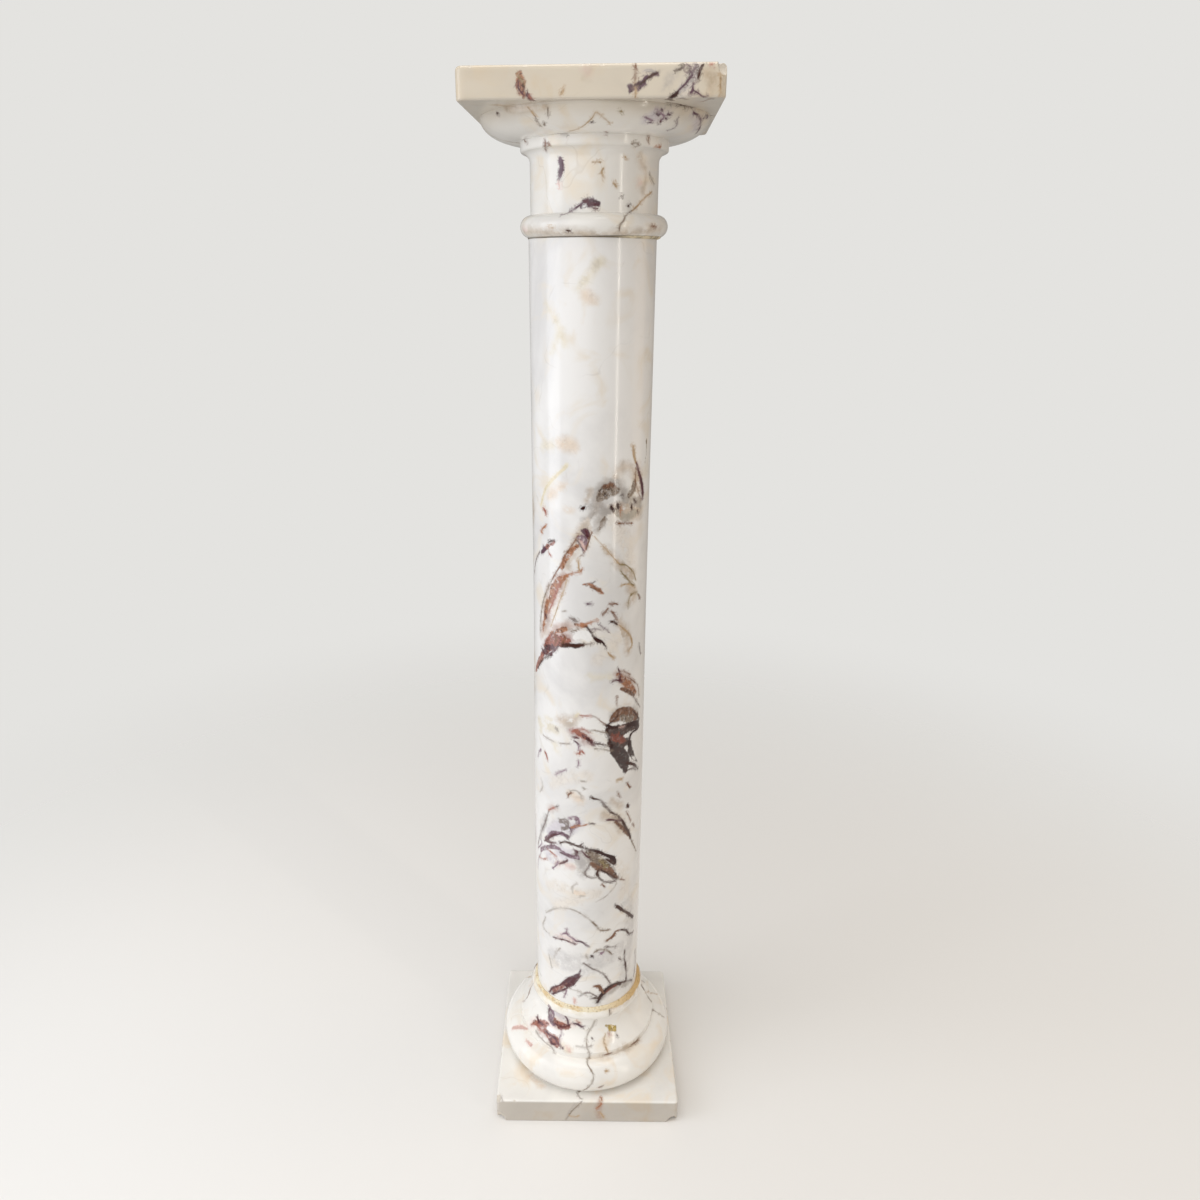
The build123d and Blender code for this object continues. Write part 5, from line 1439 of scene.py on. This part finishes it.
# %% Marble: lines, and the fine threads that run beside them
def line_layer(tree, place, under, ground):
    """Lays the veins over a colour, each with a soft shadow of its tone and a few stray threads."""
    stored = add(tree, "Attribute", settings=from_mesh(VEIN))
    line = add(tree, "Attribute", settings=from_mesh("vein_line")).outputs["Vector"]
    signed, half_width, weight = add(tree, "SeparateXYZ", {0: line}).outputs
    bleed = add(tree, "Math", {0: stored.outputs["Alpha"], 1: uneven(tree, place, 120.0, 5.0, 4.0)}, ADD)
    halo = add(tree, "MapRange", ramp(bleed, 2.2, -0.6, 0.28), SMOOTH)
    colour = add(tree, "Mix", {"Factor": halo, "A": under, "B": stored.outputs["Color"]}, COLOUR_MIX)

    net = add(tree, "TexNoise", {"Vector": place, "Scale": 130.0, "Detail": 3.0, "Distortion": 0.5})
    thread = add(tree, "MapRange", ramp(net_of(tree, net), 0.035, 0.008, 0.55), SMOOTH)
    beside = add(tree, "MapRange", ramp(bleed, 3.4, 0.4), SMOOTH)
    stray = add(tree, "Math", {0: thread, 1: beside}, MULTIPLY)
    colour = add(tree, "Mix", {"Factor": stray, "A": colour, "B": stored.outputs["Color"]}, COLOUR_MIX)

    moved = add(tree, "Math", {0: signed, 1: uneven(tree, place, 210.0, 4.0, 1.3)}, ADD)
    away = add(tree, "Math", {0: moved}, ABSOLUTE)
    swell = add(tree, "Math", {0: half_width, 1: uneven(tree, place, 160.0, 5.0, 1.5)}, ADD)
    depth = add(tree, "Math", {0: away, 1: swell}, SUBTRACT)
    mask = add(tree, "MapRange", ramp(depth, 0.5, -0.4), SMOOTH)
    stray_scale = add(tree, "TexNoise", {"Vector": place, "Scale": 75.0, "Detail": 5.0, "Roughness": 0.6})
    strength = add(tree, "MapRange", {"Value": stray_scale, "From Min": 0.38, "From Max": 0.58,
        "To Min": 0.3}, SMOOTH)
    full = add(tree, "MapRange", {"Value": half_width, "From Min": 0.6, "From Max": 1.5})
    lasting = add(tree, "Math", {0: strength, 1: full}, MAXIMUM)
    kept = add(tree, "Math", {0: lasting, 1: weight}, MULTIPLY)
    held = add(tree, "Math", {0: mask, 1: kept}, MULTIPLY)
    tone = mottled(tree, place, stored.outputs["Color"], ground, *LINE_MOTTLE)
    return add(tree, "Mix", {"Factor": held, "A": colour, "B": tone}, COLOUR_MIX)


# %% Marble: the polished stone
def marble(name, clear, cloud, warm, hair, shade_and_tint_bands=()):
    """Polished marble; each height band is (height where it starts, where it is full, share, tint), a colour
    multiplied in by height: painted shade, and on the capital also a faint warm tint.
    """
    material = new_material(name)
    tree = material.node_tree
    place = add(tree, "TexCoord").outputs["Object"]
    ground = stone_ground(tree, place, clear, cloud, warm, hair)
    for low, high, share, tint in shade_and_tint_bands:
        height = add(tree, "SeparateXYZ", {0: place}).outputs["Z"]
        band = add(tree, "MapRange", ramp(height, low, high, share), SMOOTH)
        ground = add(tree, "Mix", {"Factor": band, "A": ground, "B": hex_colour(tint)}, COLOUR_MULTIPLY)
    colour = area_layer(tree, place, ground, ground, STAIN, **STAIN_LOOK)
    colour = area_layer(tree, place, colour, ground, PATCH, **PATCH_LOOK)
    colour = line_layer(tree, place, colour, ground)
    scar = add(tree, "Attribute", settings=from_mesh("scar")).outputs["Fac"]
    grain = add(tree, "TexNoise", {"Vector": place, "Scale": 900.0, "Detail": 3.0, "Roughness": 0.6})
    sugar = add(tree, "MapRange", {"Value": grain, "To Min": 0.75, "To Max": 1.1})
    broken = add(tree, "Mix", {"Factor": 1.0, "A": hex_colour("#ddd4c6"), "B": sugar}, COLOUR_MULTIPLY)
    colour = add(tree, "Mix", {"Factor": scar, "A": colour, "B": broken}, COLOUR_MIX)
    rubbed = add(tree, "TexNoise", {"Vector": place, "Scale": 55.0, "Detail": 6.0})
    polish = add(tree, "MapRange", {"Value": rubbed, "To Min": 0.08, "To Max": 0.24})
    roughness = add(tree, "Mix", {"Factor": scar, "A": polish, "B": 0.8}, {"data_type": "FLOAT"})
    fracture = add(tree, "Math", {0: scar, 1: grain}, MULTIPLY)
    ripple = add(tree, "TexNoise", {"Vector": place, "Scale": 70.0, "Detail": 2.0})
    relief = add(tree, "Math", {0: fracture, 1: 8.0, 2: ripple}, MULTIPLY_ADD)
    bump = add(tree, "Bump", {"Strength": 0.35, "Distance": 0.0001, "Height": relief})
    shader = add(tree, "BsdfPrincipled", {"Base Color": colour, "Roughness": roughness, "IOR": 1.57,
        "Specular IOR Level": 0.34, "Normal": bump})
    add(tree, "OutputMaterial", {"Surface": shader})
    return material


# Painted shade: the capital is multiplied darker from the echinus upwards, for the echinus facing down under
# the slab; a faint warm tint is laid over the slab as well.
SOFFIT, SLAB_FACE = TOP * MM - 0.0235, TOP * MM - 0.0205
CAPITAL_SHADE_AND_TINT = ((SOFFIT - 0.016, SOFFIT - 0.003, 0.8, "#dcd4c8"), (SOFFIT, SLAB_FACE, 1.0, "#fffbf3"))
# Painted shade: the plinth's sides below its top edge are multiplied darker, so its front reads darker than
# its top.
PLINTH_SIDE_SHADE = ((0.0287, 0.0265, 1.0, "#d3cec8"),)
base_marble = marble("white_marble_of_base", "#f3f0ea", "#e6e3de", "#ecdfcc", "#b7a58c", PLINTH_SIDE_SHADE)
shaft_marble = marble("grey_marble_of_shaft", "#f0eeeb", "#dcdad8", "#e9e0d2", "#a9a29a")
capital_marble = marble("white_marble_of_capital", "#f0ede7", "#e2dfda", "#ece0cd", "#b7a58c",
    CAPITAL_SHADE_AND_TINT)
for piece, material in ((base, base_marble), (shaft, shaft_marble), (capital, capital_marble)):
    piece.data.materials.append(material)

# %% [markdown]
# ## Putty and iron
# The putty is lime and oil gone yellow: dull, crumbly, browner where damp has sat. The upper bead is
# coloured dark brown away from its crescent, which is painted shade for the joint under the astragal.
# The dowels are forged iron with brown rust; nobody sees them, but they have their material like all the rest.

# %% Putty
def lime_putty(name, fresh, aged_and_shaded, dirt, aged_and_shaded_from, aged_and_shaded_to, dirt_share):
    """Crumbly putty that turns towards one side into a second colour: yellowed age on the lower bead, painted
    shade on the upper one. That colour starts at the first x and is strongest at the second, in metres.
    """
    material = new_material(name)
    tree = material.node_tree
    place = add(tree, "TexCoord").outputs["Object"]
    damp = add(tree, "TexNoise", {"Vector": place, "Scale": 90.0, "Detail": 6.0, "Roughness": 0.65})
    crumb = add(tree, "TexNoise", {"Vector": place, "Scale": 420.0, "Detail": 5.0, "Roughness": 0.7})
    sides = add(tree, "SeparateXYZ", {0: place})
    leaning = add(tree, "MapRange", ramp(sides.outputs["X"], aged_and_shaded_from, aged_and_shaded_to, 0.8), SMOOTH)
    dampness = add(tree, "MapRange", ramp(damp, 0.44, 0.62, 0.6), SMOOTH)
    share = add(tree, "Math", {0: leaning, 1: dampness}, MAXIMUM)
    colour = add(tree, "Mix", {"Factor": share, "A": hex_colour(fresh), "B": hex_colour(aged_and_shaded)}, COLOUR_MIX)
    specks = add(tree, "MapRange", ramp(crumb, 0.52, 0.66, dirt_share), SMOOTH)
    colour = add(tree, "Mix", {"Factor": specks, "A": colour, "B": hex_colour(dirt)}, COLOUR_MIX)
    bump = add(tree, "Bump", {"Strength": 0.8, "Distance": 0.0008, "Height": crumb})
    shader = add(tree, "BsdfPrincipled", {"Base Color": colour, "Roughness": 0.8, "IOR": 1.5, "Normal": bump})
    add(tree, "OutputMaterial", {"Surface": shader})
    return material


yellowed = lime_putty("lime_putty_yellowed", "#efe4c8", "#cfa765", "#8a6a3c", 0.0, 0.06, 0.7)
# Painted shade: the upper bead is dark brown everywhere but its crescent on the right, for the shaded joint.
shaded_putty = lime_putty("lime_putty_painted_shade", "#e6d9bb", "#47382c", "#2e241d", 0.035, 0.015, 0.5)
lower_putty.data.materials.append(yellowed)
upper_putty.data.materials.append(shaded_putty)

# %% Iron
iron = new_material("forged_iron_rusted")
tree = iron.node_tree
place = add(tree, "TexCoord").outputs["Object"]
scale = add(tree, "TexNoise", {"Vector": place, "Scale": 240.0, "Detail": 5.0})
rusty = add(tree, "MapRange", ramp(scale, 0.4, 0.62), SMOOTH)
skin = add(tree, "Mix", {"Factor": rusty, "A": hex_colour("#2e2b2a"), "B": hex_colour("#6a3d26")},
    COLOUR_MIX)
pitted = add(tree, "Bump", {"Strength": 0.5, "Distance": 0.0004, "Height": scale})
shader = add(tree, "BsdfPrincipled", {"Base Color": skin, "Roughness": 0.7, "Metallic": 0.4, "Normal": pitted})
add(tree, "OutputMaterial", {"Surface": shader})
for node in ("lower_dowel", "upper_dowel"):
    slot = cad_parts[node].material_slots[0]
    slot.link = "OBJECT"
    slot.material = iron

# %% [markdown]
# ## The studio
# A pale floor that fades into a pale background. The light comes from a wide window at the front
# left, a cool sheet at the left, a soft ceiling, a weaker and warmer sheet at the right, and a tall
# narrow strip that draws the bright line down the shaft.

# %% Floor and background
scene = bpy.context.scene
scene.view_settings.view_transform = "Standard"
FLOOR_SIZE, FADE_START, FADE_END = 8.0, 0.35, 1.5
bpy.ops.mesh.primitive_plane_add(size=FLOOR_SIZE, location=(0, 0, 0))
floor = bpy.context.object
floor.name = "studio_floor"
floor_material = new_material("studio_floor")
tree = floor_material.node_tree
place = add(tree, "TexCoord").outputs["Object"]
far = add(tree, "VectorMath", {0: place}, {"operation": "LENGTH"})
fade = add(tree, "MapRange", ramp(far, FADE_START, FADE_END), SMOOTH)
matte = add(tree, "BsdfDiffuse", {"Color": hex_colour("#f0eeeb")})
clear_floor = add(tree, "BsdfTransparent")
surface = add(tree, "MixShader", {0: fade, 1: matte, 2: clear_floor})
add(tree, "OutputMaterial", {"Surface": surface})
floor.data.materials.append(floor_material)

world = bpy.data.worlds.new("studio_world")
scene.world = world
world.use_nodes = True
tree = world.node_tree
tree.nodes.clear()
path = add(tree, "LightPath")
room = add(tree, "Background", {"Color": hex_colour("#f6f2ec"), "Strength": 0.33})
paper = add(tree, "Background", {"Color": hex_colour("#e4e3e0"), "Strength": 1.0})
seen = add(tree, "MixShader", {0: path.outputs["Is Camera Ray"], 1: room, 2: paper})
add(tree, "OutputWorld", {"Surface": seen})

# %% Lamps
def lamp(name, width, height, power, azimuth, elevation, distance, tint, aim=0.5):
    """An area lamp that faces the axis at the height aim; azimuth 0 is the camera's side."""
    data = bpy.data.lights.new(name, "AREA")
    data.shape, data.size, data.size_y = "RECTANGLE", width, height
    data.energy, data.color = power, linear(tint)
    item = bpy.data.objects.new(name, data)
    a, e = radians(azimuth), radians(elevation)
    offset = Vector((sin(a) * cos(e), -cos(a) * cos(e), sin(e))) * distance
    item.location = offset + Vector((0, 0, aim))
    item.rotation_euler = (-offset).to_track_quat("-Z", "Y").to_euler()
    scene.collection.objects.link(item)


lamp("window", 2.4, 1.6, 16.5, -32, 27, 2.0, "#fbfcff")
lamp("left_sheet", 0.9, 1.9, 15, -74, 6, 1.8, "#f1f6ff")
lamp("ceiling", 1.8, 1.8, 30, -20, 84, 2.2, "#fffefb")
lamp("right_strip", 0.045, 1.6, 5, 47, 4, 1.9, "#fff6ea", 0.7)
lamp("right_sheet", 0.9, 1.5, 3.5, 95, 6, 1.8, "#ffdfbc")
